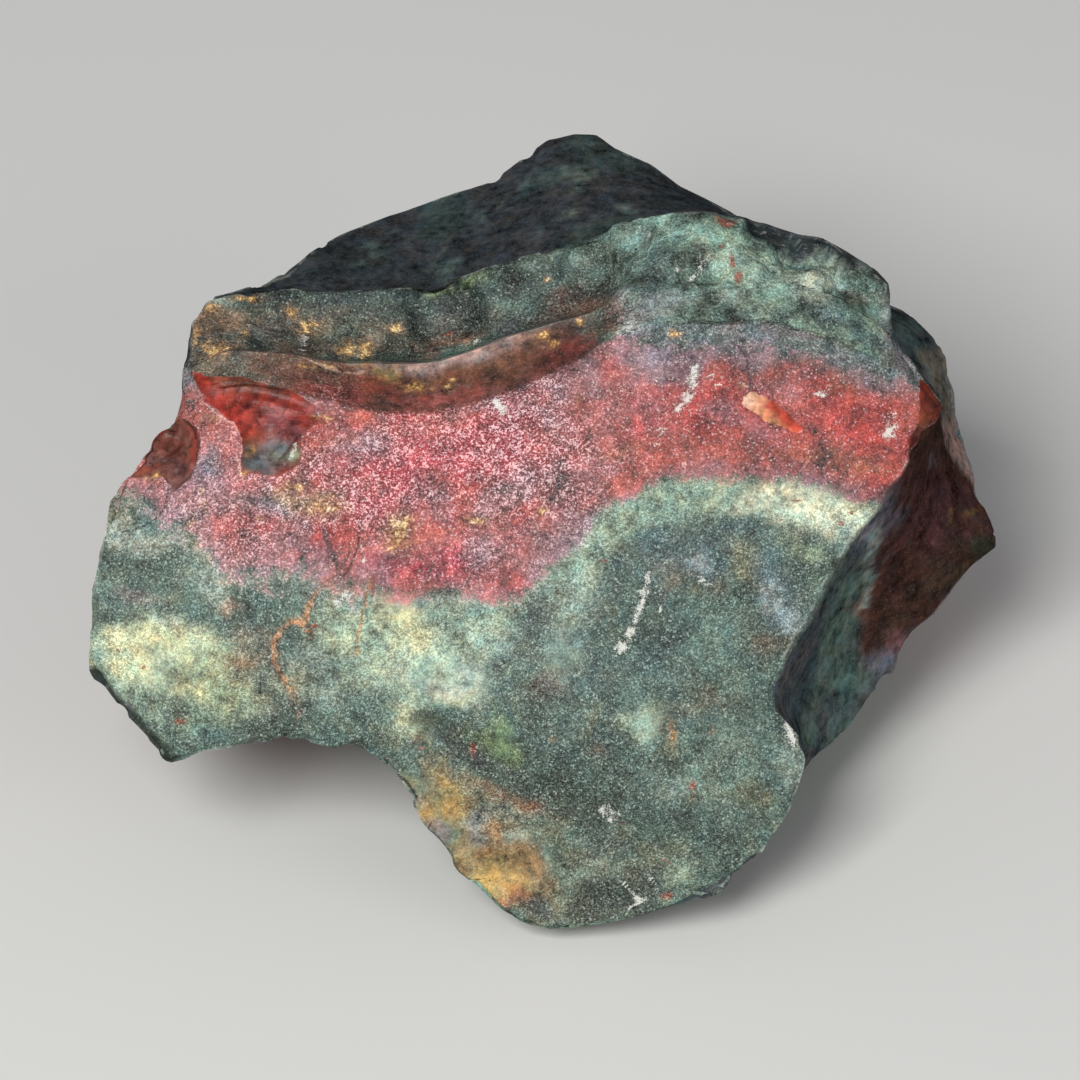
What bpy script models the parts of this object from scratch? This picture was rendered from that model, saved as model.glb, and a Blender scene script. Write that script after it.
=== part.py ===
"""A raw chunk of bloodstone, broken on every side, resting on a flat patch of its underside.

The stone is one solid. It is a loft through nested closed rings: from the middle of the big
broken face out to that face's rim, over the shelf above it to the front edge, across the saddle
behind, along the back ridge, down the flanks and in to the foot. Flake scars, each the hollow of
an ellipsoid, are then struck off it.

Two frames are used. In the face frame a point is (across, up, back) from the middle of the broken
face, with back pointing into the stone. In the part frame a point is (x, y, z) with the foot at
z = 0. Both are in millimetres until the mesh is made.
"""

import math

import bpy
import numpy as np
from mathutils import Matrix, Vector

# Driving dimensions.
MM = 0.001
FACE_LEAN = math.radians(40.0)  # the broken face leans back this far from upright
FACE_MIDDLE = (-0.8, -16.7, 31.0)  # the face frame's origin, in the part frame
READ_FROM = 700.0  # the rings are as seen from this far in front of the face
STATIONS = 96  # points along each ring
FACE_RINGS = 10
STONE_COLOUR = (0.16, 0.17, 0.13, 1.0)
STONE_ROUGHNESS = 0.55

FACE_CENTRE = (-1.7, -1.7, -0.4)
FOOT_CENTRE = (0.0, 2.0, 0.0)

# Rings in the face frame, clockwise from the left tip: (across, up, back).
# The broken face's rim. Along the top it is the sharp lip under the shelf.
FACE_RIM = [
    (-33.5, -9.5, 1.9), (-33.4, -5.0, 1.5), (-32.5, -1.7, 1.3), (-31.3, 1.7, 1.2),
    (-29.6, 4.6, 1.2), (-28.6, 7.5, 1.4), (-28.6, 10.4, 1.8), (-28.9, 12.4, 2.4),
    (-26.2, 13.5, 2.0), (-22.9, 13.2, 1.7), (-20.0, 12.2, 1.4), (-17.1, 11.2, 1.2),
    (-14.2, 10.6, 1.0), (-11.7, 10.4, 1.0), (-9.2, 10.4, 1.0), (-6.7, 10.8, 1.0),
    (-4.2, 11.4, 1.0), (-1.7, 12.2, 1.1), (0.8, 13.4, 1.2), (3.3, 14.8, 1.3),
    (5.0, 16.1, 1.5), (7.1, 17.4, 1.8), (9.2, 17.8, 2.0), (13.3, 18.1, 2.0),
    (17.1, 17.8, 2.0), (19.6, 18.0, 2.2), (22.5, 17.4, 2.2), (25.8, 16.2, 2.2),
    (28.7, 15.0, 2.4), (30.4, 13.7, 2.6), (31.8, 12.5, 2.8), (32.6, 11.1, 2.6),
    (31.2, 9.2, 2.0), (29.6, 7.1, 1.2), (27.5, 4.2, 0.8), (24.2, 0.8, 0.8),
    (20.8, -3.3, 0.8), (18.3, -7.5, 1.0), (17.1, -11.7, 1.0), (17.1, -15.0, 1.1),
    (18.2, -18.3, 1.4), (17.9, -20.8, 1.6), (16.2, -23.3, 1.8), (13.3, -25.8, 2.1),
    (9.2, -28.3, 2.4), (5.0, -29.3, 2.7), (0.8, -29.3, 2.8), (-1.7, -28.3, 2.7),
    (-3.8, -25.8, 2.4), (-5.4, -23.3, 2.1), (-6.7, -21.2, 1.8), (-8.3, -18.8, 1.6),
    (-11.7, -16.2, 1.4), (-15.8, -15.0, 1.4), (-20.0, -14.3, 1.6), (-24.2, -14.3, 1.8),
    (-28.3, -14.6, 2.0), (-31.2, -14.6, 2.3), (-32.9, -12.9, 2.2), (-33.8, -11.2, 2.0),
]  # fmt: skip
# The crest of the shelf along the top, from left to right.
SHELF_CREST = [
    (-29.2, 14.2, 3.5), (-26.2, 15.6, 3.6), (-22.5, 15.6, 3.8), (-19.2, 15.2, 4.6),
    (-16.2, 14.7, 5.5), (-13.3, 14.5, 6.0), (-10.8, 14.5, 6.0), (-8.3, 14.8, 6.0),
    (-5.4, 15.7, 6.0), (-3.3, 16.5, 6.0), (-0.8, 17.3, 5.8), (1.7, 18.3, 5.4),
    (3.8, 19.0, 5.0), (6.2, 20.0, 4.4), (9.2, 21.0, 3.8), (13.3, 21.4, 3.6),
    (17.5, 21.2, 3.8), (21.2, 21.0, 4.2), (25.0, 20.0, 4.2), (27.1, 18.5, 4.2),
    (28.8, 16.8, 4.0), (30.4, 14.6, 3.6), (32.1, 12.3, 3.0), (33.1, 11.2, 2.9),
]  # fmt: skip
# The front edge of the stone: left tip, shoulder, right corner, heel, toe and notch.
FRONT_EDGE = [
    (-37.7, -9.6, 2.4), (-37.2, -5.0, 2.2), (-36.8, -1.3, 2.0), (-35.7, 2.9, 1.9),
    (-34.6, 5.2, 1.9), (-32.5, 7.1, 2.1), (-30.7, 9.6, 2.4), (-29.9, 12.1, 3.2),
    (-29.8, 14.6, 4.5), (-29.0, 17.9, 6.0), (-27.8, 19.8, 7.5), (-25.0, 20.5, 8.5),
    (-21.3, 21.0, 9.5), (-16.7, 21.1, 10.0), (-11.7, 21.1, 10.0), (-9.0, 20.8, 10.0),
    (-7.1, 21.6, 9.5), (-3.3, 23.1, 9.0), (1.7, 24.5, 8.5), (5.8, 25.9, 8.0),
    (9.6, 27.2, 8.0), (13.3, 27.5, 8.0), (16.0, 27.2, 8.0), (18.8, 26.4, 8.0),
    (21.7, 25.4, 8.0), (23.5, 25.2, 8.0), (25.8, 23.8, 8.0), (27.7, 22.5, 8.0),
    (28.8, 21.3, 7.8), (29.0, 19.8, 7.2), (29.2, 18.2, 6.2), (30.0, 16.3, 5.0),
    (31.8, 14.0, 4.0), (33.6, 11.3, 3.2), (32.7, 9.6, 2.6), (31.0, 7.1, 1.9),
    (29.6, 5.0, 1.4), (28.2, 2.8, 1.2), (25.8, 0.0, 1.2), (23.8, -3.3, 1.2),
    (22.1, -6.7, 1.4), (20.4, -9.6, 1.6), (19.5, -12.1, 1.8), (19.5, -13.8, 1.9),
    (20.7, -15.2, 2.0), (21.8, -16.5, 2.1), (22.2, -18.3, 2.3), (21.7, -20.0, 2.5),
    (21.1, -22.1, 2.8), (19.6, -24.6, 3.0), (17.9, -26.7, 3.2), (15.0, -28.8, 3.5),
    (11.7, -30.4, 3.8), (8.3, -31.7, 4.1), (5.0, -32.5, 4.3), (0.8, -32.9, 4.5),
    (-1.7, -32.1, 4.5), (-3.3, -31.0, 4.3), (-5.4, -28.8, 4.0), (-7.1, -26.7, 3.7),
    (-8.8, -24.6, 3.4), (-10.2, -22.9, 3.1), (-10.2, -21.7, 2.9), (-11.7, -20.0, 2.8),
    (-14.0, -18.0, 2.6), (-16.7, -17.6, 2.4), (-20.0, -16.9, 2.5), (-22.5, -16.8, 2.6),
    (-25.4, -17.2, 2.8), (-28.3, -17.7, 3.0), (-29.2, -18.1, 3.1), (-30.7, -18.5, 3.2),
    (-32.5, -16.7, 3.2), (-34.6, -14.6, 3.0), (-36.3, -12.5, 2.8), (-37.5, -11.0, 2.5),
]  # fmt: skip
# The saddle behind the top edge, the middle of the right-hand facet, and the start of the flanks.
SADDLE = [
    (-37.0, -9.6, 9.0), (-36.6, -5.0, 9.0), (-36.2, -1.2, 9.0), (-35.0, 2.5, 9.0),
    (-33.3, 5.0, 9.0), (-31.2, 7.1, 9.5), (-29.8, 9.6, 10.0), (-29.3, 12.1, 10.5),
    (-29.0, 14.8, 11.5), (-28.3, 17.5, 12.5), (-27.3, 19.2, 13.5), (-24.6, 19.6, 15.0),
    (-20.8, 20.0, 16.5), (-16.2, 20.0, 17.5), (-11.7, 20.0, 18.0), (-8.3, 20.0, 18.0),
    (-3.3, 22.1, 18.0), (1.7, 23.3, 18.0), (5.8, 24.8, 17.5), (9.6, 25.8, 17.0),
    (13.3, 26.2, 16.5), (16.2, 25.8, 16.0), (19.2, 25.0, 15.5), (21.7, 24.0, 15.0),
    (24.2, 23.2, 14.5), (26.2, 22.1, 14.0), (27.5, 20.7, 13.5), (27.9, 18.8, 13.0),
    (28.8, 16.2, 12.5), (30.4, 13.8, 12.0), (32.5, 11.2, 12.0), (32.9, 8.3, 12.0),
    (32.3, 5.4, 12.3), (31.6, 2.5, 12.6), (30.4, -0.4, 12.8), (28.2, -3.1, 12.6),
    (26.4, -5.8, 12.3), (24.8, -8.8, 12.0), (23.0, -12.1, 11.0), (22.0, -14.4, 9.5),
    (22.0, -17.1, 8.5), (21.2, -19.3, 8.5), (20.5, -21.2, 8.5), (19.0, -23.6, 8.5),
    (17.3, -25.6, 8.6), (14.6, -27.6, 8.6), (11.4, -29.2, 8.6), (8.3, -30.3, 8.6),
    (5.0, -31.0, 8.6), (1.0, -31.3, 8.6), (-1.3, -30.7, 8.6), (-2.9, -29.7, 8.6),
    (-4.8, -27.7, 8.6), (-6.4, -25.8, 8.6), (-7.9, -23.8, 8.6), (-9.2, -22.3, 8.5),
    (-9.6, -21.0, 8.5), (-11.2, -19.3, 8.5), (-13.8, -17.3, 8.5), (-16.6, -16.8, 8.5),
    (-19.8, -16.2, 9.0), (-22.3, -16.1, 9.0), (-25.2, -16.4, 9.0), (-27.9, -16.8, 9.5),
    (-30.2, -17.3, 10.0), (-31.9, -15.8, 10.0), (-33.9, -13.8, 10.0), (-35.5, -12.0, 9.5),
    (-36.7, -10.6, 9.0),
]  # fmt: skip
# The back ridge along the top, the outer edge on the right, and the widest line of the flanks.
BACK_RIDGE = [
    (-35.7, -9.2, 17.0), (-35.2, -5.0, 17.0), (-34.8, -1.7, 17.0), (-33.8, 1.7, 17.0),
    (-32.3, 4.2, 17.0), (-30.7, 6.2, 17.0), (-29.5, 8.8, 17.0), (-29.0, 11.2, 17.0),
    (-28.7, 14.2, 17.0), (-28.2, 16.7, 17.0), (-27.8, 18.8, 16.5), (-27.1, 20.3, 16.5),
    (-23.3, 21.3, 20.0), (-21.2, 21.9, 22.0), (-19.2, 23.8, 25.0), (-16.7, 25.3, 28.0),
    (-12.5, 27.2, 30.0), (-8.3, 28.5, 31.0), (-4.2, 29.9, 32.0), (-1.7, 31.6, 33.0),
    (0.7, 33.2, 34.0), (2.9, 33.6, 34.0), (4.6, 33.5, 34.0), (6.2, 32.5, 33.0),
    (9.2, 31.4, 32.0), (11.7, 29.6, 31.0), (13.8, 28.5, 30.0), (15.8, 27.2, 28.0),
    (19.2, 25.0, 27.0), (22.1, 23.2, 26.0), (25.4, 21.5, 25.0), (27.9, 20.0, 24.5),
    (30.4, 19.0, 24.0), (31.8, 18.5, 24.0), (33.1, 17.2, 23.5), (33.7, 15.8, 23.0),
    (34.1, 12.9, 22.5), (34.4, 9.6, 22.0), (35.4, 6.7, 21.5), (36.7, 3.8, 21.0),
    (37.7, 1.7, 20.5), (38.3, -0.4, 20.0), (36.2, -1.8, 20.0), (34.2, -3.9, 20.0),
    (32.5, -6.0, 19.5), (30.0, -9.2, 19.0), (28.3, -12.1, 18.5), (25.8, -15.4, 17.5),
    (24.6, -17.5, 17.0), (23.3, -18.8, 16.5), (21.9, -19.6, 15.0), (20.4, -20.7, 13.5),
    (18.8, -22.3, 13.0), (16.8, -24.1, 12.5), (14.2, -26.0, 12.0), (11.2, -27.6, 11.8),
    (8.3, -28.4, 11.8), (5.0, -28.8, 11.8), (1.2, -29.0, 11.8), (-1.0, -28.6, 11.8),
    (-2.5, -27.8, 11.8), (-4.3, -26.0, 12.0), (-5.8, -24.2, 12.3), (-7.2, -22.6, 12.6),
    (-8.3, -21.3, 13.0), (-9.0, -20.2, 13.5), (-10.8, -18.5, 13.5), (-13.5, -16.5, 14.0),
    (-16.5, -15.8, 14.5), (-19.6, -15.2, 15.5), (-22.0, -14.8, 16.0), (-24.6, -14.8, 17.0),
    (-27.1, -15.0, 17.5), (-29.2, -15.2, 18.0), (-30.8, -13.8, 18.0), (-32.5, -12.3, 18.0),
    (-34.0, -11.0, 17.5), (-35.2, -10.2, 17.0),
]  # fmt: skip

# Rings in the part frame, clockwise from the left: (x, y, z).
BACK_WAIST = [
    (-34.5, -3.0, 12.0), (-34.8, 6.0, 15.0), (-31.5, 14.5, 21.0), (-25.5, 23.5, 23.0),
    (-15.0, 29.0, 20.0), (-4.5, 33.0, 18.5), (6.5, 31.5, 23.0), (15.5, 30.5, 25.0),
    (24.0, 26.5, 20.5), (31.5, 21.5, 17.0), (36.0, 10.0, 14.5), (35.0, 2.0, 11.5),
    (29.5, -3.5, 8.0), (25.5, -8.5, 5.0), (20.5, -15.0, 3.6), (15.5, -20.0, 2.2),
    (9.0, -23.8, 1.2), (2.0, -24.8, 1.0), (-4.0, -23.5, 1.5), (-8.2, -17.5, 3.6),
    (-11.5, -14.0, 5.4), (-17.0, -11.5, 6.8), (-25.0, -9.0, 6.5), (-31.0, -7.0, 9.0),
]  # fmt: skip
FOOT_FLARE = [
    (-29.5, 1.5, 3.5), (-29.0, 11.0, 4.5), (-22.5, 22.0, 3.5), (-11.0, 28.5, 5.0),
    (2.0, 29.0, 3.5), (14.0, 27.5, 5.5), (26.5, 27.0, 4.0), (32.0, 15.5, 4.0),
    (28.5, 4.0, 3.0), (24.0, -5.0, 2.2), (19.5, -13.0, 1.6), (14.5, -18.5, 1.2),
    (8.5, -22.5, 0.8), (2.0, -23.5, 0.7), (-4.0, -22.0, 0.8), (-7.5, -16.0, 1.5),
    (-10.5, -11.5, 2.4), (-16.5, -8.0, 3.6), (-24.0, -5.5, 3.6),
]  # fmt: skip
FOOT = [
    (-24.0, 2.5, 0.0), (-23.0, 10.5, 0.0), (-17.0, 19.5, 0.0), (-6.0, 24.0, 0.0),
    (5.0, 22.5, 0.0), (16.0, 25.0, 0.0), (24.5, 21.0, 0.0), (27.5, 12.5, 0.0),
    (23.5, 3.0, 0.0), (20.0, -6.0, 0.0), (15.0, -14.0, 0.0), (10.0, -19.0, 0.0),
    (3.0, -21.0, 0.0), (-3.0, -19.5, 0.0), (-6.0, -13.0, 0.0), (-8.5, -8.0, 0.0),
    (-15.0, -4.0, 0.0),
]  # fmt: skip

# Flake scars: (name, middle on the surface, (bearing, climb) of the way out of the stone in
# degrees, half-widths across and up, depth, turn in degrees).
# These have their middle in the face frame.
FACE_SCARS = [
    ("tongue_scar", (-22.6, 8.0, 1.2), (-95, 42), (3.3, 5.6), 1.1, -14),
    ("band_scar", (-22.8, 12.4, 1.6), (-90, 52), (6.2, 2.4), 0.9, -13),
    ("shell_scar", (-31.4, 7.0, 1.8), (-112, 40), (4.8, 3.4), 1.4, 42),
    ("chip_scar", (-34.2, 3.2, 1.6), (-108, 40), (3.6, 2.4), 1.0, 20),
    ("lobe_scar", (-4.9, -30.0, 3.8), (-90, 26), (20.0, 10.8), 1.6, -14),
    ("dish_scar", (20.4, 25.0, 7.0), (-80, 72), (5.2, 3.2), 1.0, -15),
    ("corner_scar", (27.6, 21.4, 6.6), (-60, 60), (3.8, 2.8), 1.1, -40),
    ("heel_scar", (32.4, 10.2, 2.6), (-50, 45), (3.2, 1.5), 0.5, 60),
]
# These have their middle in the part frame.
SIDE_SCARS = [
    ("back_left_scar", (-15.0, 29.4, 18.0), (112, 6), (17.0, 13.5), 3.2, 10),
    ("back_right_scar", (19.5, 28.6, 18.0), (60, 8), (15.0, 14.5), 3.2, -15),
    ("back_low_scar", (1.0, 30.5, 6.0), (92, -22), (15.0, 9.0), 2.4, 8),
    ("left_rear_scar", (-31.4, 13.0, 17.0), (156, 4), (14.0, 12.5), 3.0, -10),
    ("left_scar", (-35.0, -2.0, 13.0), (186, -14), (11.0, 9.5), 2.4, 20),
    ("right_rear_scar", (34.5, 15.0, 11.0), (14, -10), (11.5, 9.5), 2.6, 15),
    ("wing_scar", (-24.0, -16.5, 9.5), (252, -58), (12.0, 6.5), 1.8, 5),
    ("heel_under_scar", (23.0, -14.5, 5.0), (318, -45), (9.5, 5.5), 1.6, 10),
]


def face_to_part(points):
    """Face-frame points as seen from READ_FROM, carried to their true places in the part frame."""
    points = np.asarray(points, float)
    spread = 1.0 + points[:, 2] / READ_FROM
    across = points[:, 0] * spread
    up = points[:, 1] * spread
    back = points[:, 2]
    lean_sin, lean_cos = math.sin(FACE_LEAN), math.cos(FACE_LEAN)
    turned = np.stack(
        [across, up * lean_sin + back * lean_cos, up * lean_cos - back * lean_sin], 1
    )
    return turned + FACE_MIDDLE


def along_ring(points, centre):
    """The ring's point at each station: where a ray from its centre crosses its straight runs."""
    corners = np.array([*points, points[0]], float)
    share = np.linspace(0.0, 1.0, 30, endpoint=False)[None, :, None]
    runs = corners[:-1, None] + share * (corners[1:, None] - corners[:-1, None])
    runs = runs.reshape(-1, 3)
    bearing = np.arctan2(runs[:, 1] - centre[1], runs[:, 0] - centre[0])
    stations = np.linspace(0.0, 2 * math.pi, STATIONS, endpoint=False)
    return np.stack(
        [np.interp(stations, bearing, runs[:, i], period=2 * math.pi) for i in range(3)], 1
    )


def between(first, last, steps, dip=0.0):
    """Rings from just after first up to last, hollowed by dip at mid-way, along back."""
    rings = []
    for share in np.linspace(0.0, 1.0, steps + 1)[1:]:
        ring = first + share * (last - first)
        ring[:, 2] += dip * 4.0 * share * (1.0 - share)
        rings.append(ring)
    return rings


def bump(points, across, up, radius):
    """A soft round hump, 1 at its middle and near 0 one and a half radii away."""
    reach = (points[:, 0] - across) ** 2 + (points[:, 1] - up) ** 2
    return np.exp(-reach / radius**2)


def face_relief(points):
    """How far back the broken face is set at each point, in mm."""
    relief = -1.2 * bump(points, 7.0, -6.0, 11.0)
    relief += 0.8 * bump(points, -9.0, -9.0, 7.0)
    relief -= 0.6 * bump(points, -20.0, -4.0, 7.0)
    relief += 0.6 * bump(points, 14.0, 10.0, 8.0)
    return relief


def face_rings(rim):
    """Rings over the broken face, from its pole to its rim. Only near the rim do they follow it."""
    rings = []
    for share in np.linspace(0.0, 1.0, FACE_RINGS + 1):
        ring = FACE_CENTRE + share * (rim - FACE_CENTRE)
        ring[:, 2] = FACE_CENTRE[2] + (rim[:, 2] - FACE_CENTRE[2]) * share**2.5
        ring[:, 2] += face_relief(ring) * (1.0 - share**4)
        rings.append(ring)
    return [rings[0][:1], *rings[1:]]


def shelf_crest(rim, edge):
    """The crest where there is a shelf, and half-way from rim to edge elsewhere."""
    crest = along_ring(SHELF_CREST, FACE_CENTRE)
    bearing = np.linspace(0.0, 2 * math.pi, STATIONS, endpoint=False)
    ends = [
        math.atan2(end[1] - FACE_CENTRE[1], end[0] - FACE_CENTRE[0])
        for end in (SHELF_CREST[-1], SHELF_CREST[0])
    ]
    on_shelf = (bearing > ends[0]) & (bearing < ends[1])
    return np.where(on_shelf[:, None], crest, (rim + edge) / 2)


def stone_rings():
    """All rings from the face's pole to the foot's, in the part frame."""
    rim, edge, saddle, ridge = (
        along_ring(ring, FACE_CENTRE) for ring in (FACE_RIM, FRONT_EDGE, SADDLE, BACK_RIDGE)
    )
    crest = shelf_crest(rim, edge)
    shelf = np.clip((crest[:, 2] - rim[:, 2] - 1.0) / 3.0, 0.0, 1.0)  # 1 where the shelf is deep
    behind_crest = crest + 0.06 * (edge - crest)
    behind_crest[:, 2] += 2.2 * shelf
    face = face_rings(rim)
    front = [
        *between(rim, crest, 3, 0.9 * shelf),
        behind_crest,
        *between(behind_crest, edge, 3, 1.3 * shelf),
        *between(edge, saddle, 2),
        *between(saddle, ridge, 3),
    ]
    front = [face_to_part(ring) for ring in face + front]
    waist, flare, foot = (
        along_ring(ring, FOOT_CENTRE) for ring in (BACK_WAIST, FOOT_FLARE, FOOT)
    )
    back = [
        *between(front[-1], waist, 3),
        *between(waist, flare, 3),
        foot,
        *between(foot, np.tile(FOOT_CENTRE, (STATIONS, 1)), 3)[:-1],
        np.array([FOOT_CENTRE]),
    ]
    return front + back


def loft(name, rings):
    """A closed mesh through rings that run the same way round; the first and last are single points."""
    points = np.concatenate(rings) * MM
    starts = np.cumsum([0] + [len(ring) for ring in rings])
    turn = np.arange(STATIONS)
    ahead = (turn + 1) % STATIONS
    faces = [(0, 1 + i, 1 + j) for i, j in zip(turn, ahead)]
    for start in starts[1:-3]:
        for i, j in zip(turn, ahead):
            faces.append((start + i, start + STATIONS + i, start + STATIONS + j, start + j))
    last = starts[-2]
    faces += [(last, last - STATIONS + j, last - STATIONS + i) for i, j in zip(turn, ahead)]
    mesh = bpy.data.meshes.new(name)
    mesh.from_pydata(points.tolist(), [], [tuple(int(i) for i in face) for face in faces])
    mesh.update()
    return bpy.data.objects.new(name, mesh)


def scar_cutter(name, middle, out, half_widths, depth, turn):
    """An ellipsoid that leaves a shallow hollow of those half-widths and depth about middle."""
    bearing, climb = (math.radians(angle) for angle in out)
    level = math.cos(climb)
    out = Vector((level * math.cos(bearing), level * math.sin(bearing), math.sin(climb)))
    across = Vector((0.0, 0.0, 1.0)).cross(out).normalized()
    axes = Matrix((across, out.cross(across), out)).transposed().to_4x4()
    thickness = 3.0 * depth
    reach = math.sqrt(1.0 - ((thickness - depth) / thickness) ** 2)
    sizes = Vector((half_widths[0] / reach, half_widths[1] / reach, thickness)) * MM
    place = Matrix.Translation((Vector(middle) + out * (thickness - depth)) * MM)
    bpy.ops.mesh.primitive_ico_sphere_add(subdivisions=4, radius=1.0)
    cutter = bpy.context.object
    cutter.name = name
    cutter.data.transform(
        place @ axes @ Matrix.Rotation(math.radians(turn), 4, "Z") @ Matrix.Diagonal((*sizes, 1.0))
    )
    cutter.hide_render = True
    cutter.display_type = "WIRE"
    return cutter


def add_scars(stone):
    """Strikes every flake off the stone with a Boolean, and returns the cutters."""
    cutters = []
    for name, middle, *shape in FACE_SCARS:
        cutters.append(scar_cutter(name, face_to_part([middle])[0], *shape))
    for name, middle, *shape in SIDE_SCARS:
        cutters.append(scar_cutter(name, middle, *shape))
    for cutter in cutters:
        strike = stone.modifiers.new(cutter.name, "BOOLEAN")
        strike.operation = "DIFFERENCE"
        strike.object = cutter
    return cutters


def stone_material():
    material = bpy.data.materials.new("bloodstone")
    material.use_nodes = True
    shader = material.node_tree.nodes["Principled BSDF"]
    shader.inputs["Base Color"].default_value = STONE_COLOUR
    shader.inputs["Roughness"].default_value = STONE_ROUGHNESS
    shader.inputs["Metallic"].default_value = 0.0
    return material


def collect(name, objects):
    """Moves the objects to a collection of their own."""
    collection = bpy.data.collections.new(name)
    bpy.context.scene.collection.children.link(collection)
    for obj in objects:
        for old in obj.users_collection:
            old.objects.unlink(obj)
        collection.objects.link(obj)


def main():
    for obj in list(bpy.data.objects):
        bpy.data.objects.remove(obj)
    stone = loft("bloodstone", stone_rings())
    stone.data.materials.append(stone_material())
    cutters = add_scars(stone)
    collect("Bloodstone", [stone])
    collect("Scar cutters", cutters)


main()
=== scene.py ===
import math
from itertools import product

import bpy
import numpy as np
from mathutils import Euler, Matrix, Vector


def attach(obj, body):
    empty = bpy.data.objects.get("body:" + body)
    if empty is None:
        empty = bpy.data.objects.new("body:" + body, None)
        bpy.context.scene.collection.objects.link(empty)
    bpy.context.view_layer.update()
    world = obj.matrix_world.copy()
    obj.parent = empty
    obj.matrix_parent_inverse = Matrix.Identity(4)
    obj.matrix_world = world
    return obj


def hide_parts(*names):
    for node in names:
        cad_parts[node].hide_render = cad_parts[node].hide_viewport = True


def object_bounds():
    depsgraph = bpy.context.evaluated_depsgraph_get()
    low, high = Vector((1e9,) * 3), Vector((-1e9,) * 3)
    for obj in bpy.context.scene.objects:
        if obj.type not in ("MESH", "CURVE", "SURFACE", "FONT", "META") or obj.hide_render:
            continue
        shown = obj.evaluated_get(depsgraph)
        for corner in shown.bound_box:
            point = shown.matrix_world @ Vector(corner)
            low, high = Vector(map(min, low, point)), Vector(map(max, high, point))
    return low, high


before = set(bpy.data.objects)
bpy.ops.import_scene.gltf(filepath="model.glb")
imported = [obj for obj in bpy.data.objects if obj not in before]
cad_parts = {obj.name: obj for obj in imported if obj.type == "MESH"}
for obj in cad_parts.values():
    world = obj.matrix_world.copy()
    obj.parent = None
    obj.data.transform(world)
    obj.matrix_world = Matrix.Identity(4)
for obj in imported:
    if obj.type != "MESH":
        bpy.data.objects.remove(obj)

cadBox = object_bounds()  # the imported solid's box

# The stone is one closed skin, drawn in two frames, both in mm. In the face frame a place is
# (across, up, back) from the middle of the broken face, and back points into the stone. In the
# part's frame it is (x, y, z), with the foot at z = 0.
stone = {
    "mm": 0.001,
    "lean": math.radians(40.0),  # the broken face leans back this far from upright
    "faceMiddle": (-0.8, -16.7, 31.0),  # the face frame's origin in the part's frame
    "readFrom": 700.0,  # the rings are as seen from this far in front of the face
    "faceCentre": (-1.7, -1.7, -0.4),
    "footCentre": (0.0, 2.0, 0.0),
    "frontSteps": (52, 10, 2, 14, 12, 20),  # mesh rings: face, band, crest, step, saddle, back ridge
    "backSteps": (30, 8, 36, 36),  # mesh rings: sole, foot rim, waist, back ridge
    "seed": 11,
    "broadRelief": 0.30,  # mm of unevenness about 9 mm across
    "middlingRelief": 0.16,  # about 2.6 mm across, where the surface is dull
    "fineRelief": 0.08,  # about 0.9 mm across, where it is dull
    "sharpEdge": math.radians(38.0),
}

# Rings in the face frame, clockwise from the left tip.
faceRim = [  # along the top it is the sharp lip under the shelf
    (-33.5, -9.5, 1.9), (-33.4, -5, 1.5), (-32.5, -1.7, 1.3), (-31.3, 1.7, 1.2), (-29.6, 4.6, 1.2),
    (-28.6, 7.5, 1.4), (-28.6, 10.4, 1.8), (-28.9, 12.4, 2.4), (-26.2, 13.5, 2), (-22.9, 13.2, 1.7),
    (-20, 12.2, 1.4), (-17.1, 11.2, 1.2), (-14.2, 10.6, 1), (-11.7, 10.4, 1), (-9.2, 10.4, 1),
    (-6.7, 10.8, 1), (-4.2, 11.4, 1), (-1.7, 12.2, 1.1), (0.8, 13.4, 1.2), (3.3, 14.8, 1.3),
    (5, 16.1, 1.5), (7.1, 17.4, 1.8), (9.2, 17.8, 2), (13.3, 18.1, 2), (17.1, 17.8, 2), (19.6, 18, 2.2),
    (22.5, 17.4, 2.2), (25.8, 16.2, 2.2), (28.7, 15, 2.4), (30.4, 13.7, 2.6), (31.8, 12.5, 2.8),
    (32.6, 11.1, 2.6), (31.2, 9.2, 2), (29.6, 7.1, 1.2), (27.5, 4.2, 0.8), (24.2, 0.8, 0.8),
    (20.8, -3.3, 0.8), (18.3, -7.5, 1), (17.1, -11.7, 1), (17.1, -15, 1.1), (18.2, -18.3, 1.4),
    (17.9, -20.8, 1.6), (16.2, -23.3, 1.8), (13.3, -25.8, 2.1), (9.2, -28.3, 2.4), (5, -29.3, 2.7),
    (0.8, -29.3, 2.8), (-1.7, -28.3, 2.7), (-3.8, -25.8, 2.4), (-5.4, -23.3, 2.1), (-6.7, -21.2, 1.8),
    (-8.3, -18.8, 1.6), (-11.7, -16.2, 1.4), (-15.8, -15, 1.4), (-20, -14.3, 1.6), (-24.2, -14.3, 1.8),
    (-28.3, -14.6, 2), (-31.2, -14.6, 2.3), (-32.9, -12.9, 2.2), (-33.8, -11.2, 2),
]
shelfCrest = [  # along the top only, from left to right
    (-29.2, 14.2, 3.5), (-26.2, 15.6, 3.6), (-22.5, 15.6, 3.8), (-19.2, 15.2, 4.6), (-16.2, 14.7, 5.5),
    (-13.3, 14.5, 6), (-10.8, 14.5, 6), (-8.3, 14.8, 6), (-5.4, 15.7, 6), (-3.3, 16.5, 6),
    (-0.8, 17.3, 5.8), (1.7, 18.3, 5.4), (3.8, 19, 5), (6.2, 20, 4.4), (9.2, 21, 3.8), (13.3, 21.4, 3.6),
    (17.5, 21.2, 3.8), (21.2, 21, 4.2), (25, 20, 4.2), (27.1, 18.5, 4.2), (28.8, 16.8, 4),
    (30.4, 14.6, 3.6), (32.1, 12.3, 3), (33.1, 11.2, 2.9),
]
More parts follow.
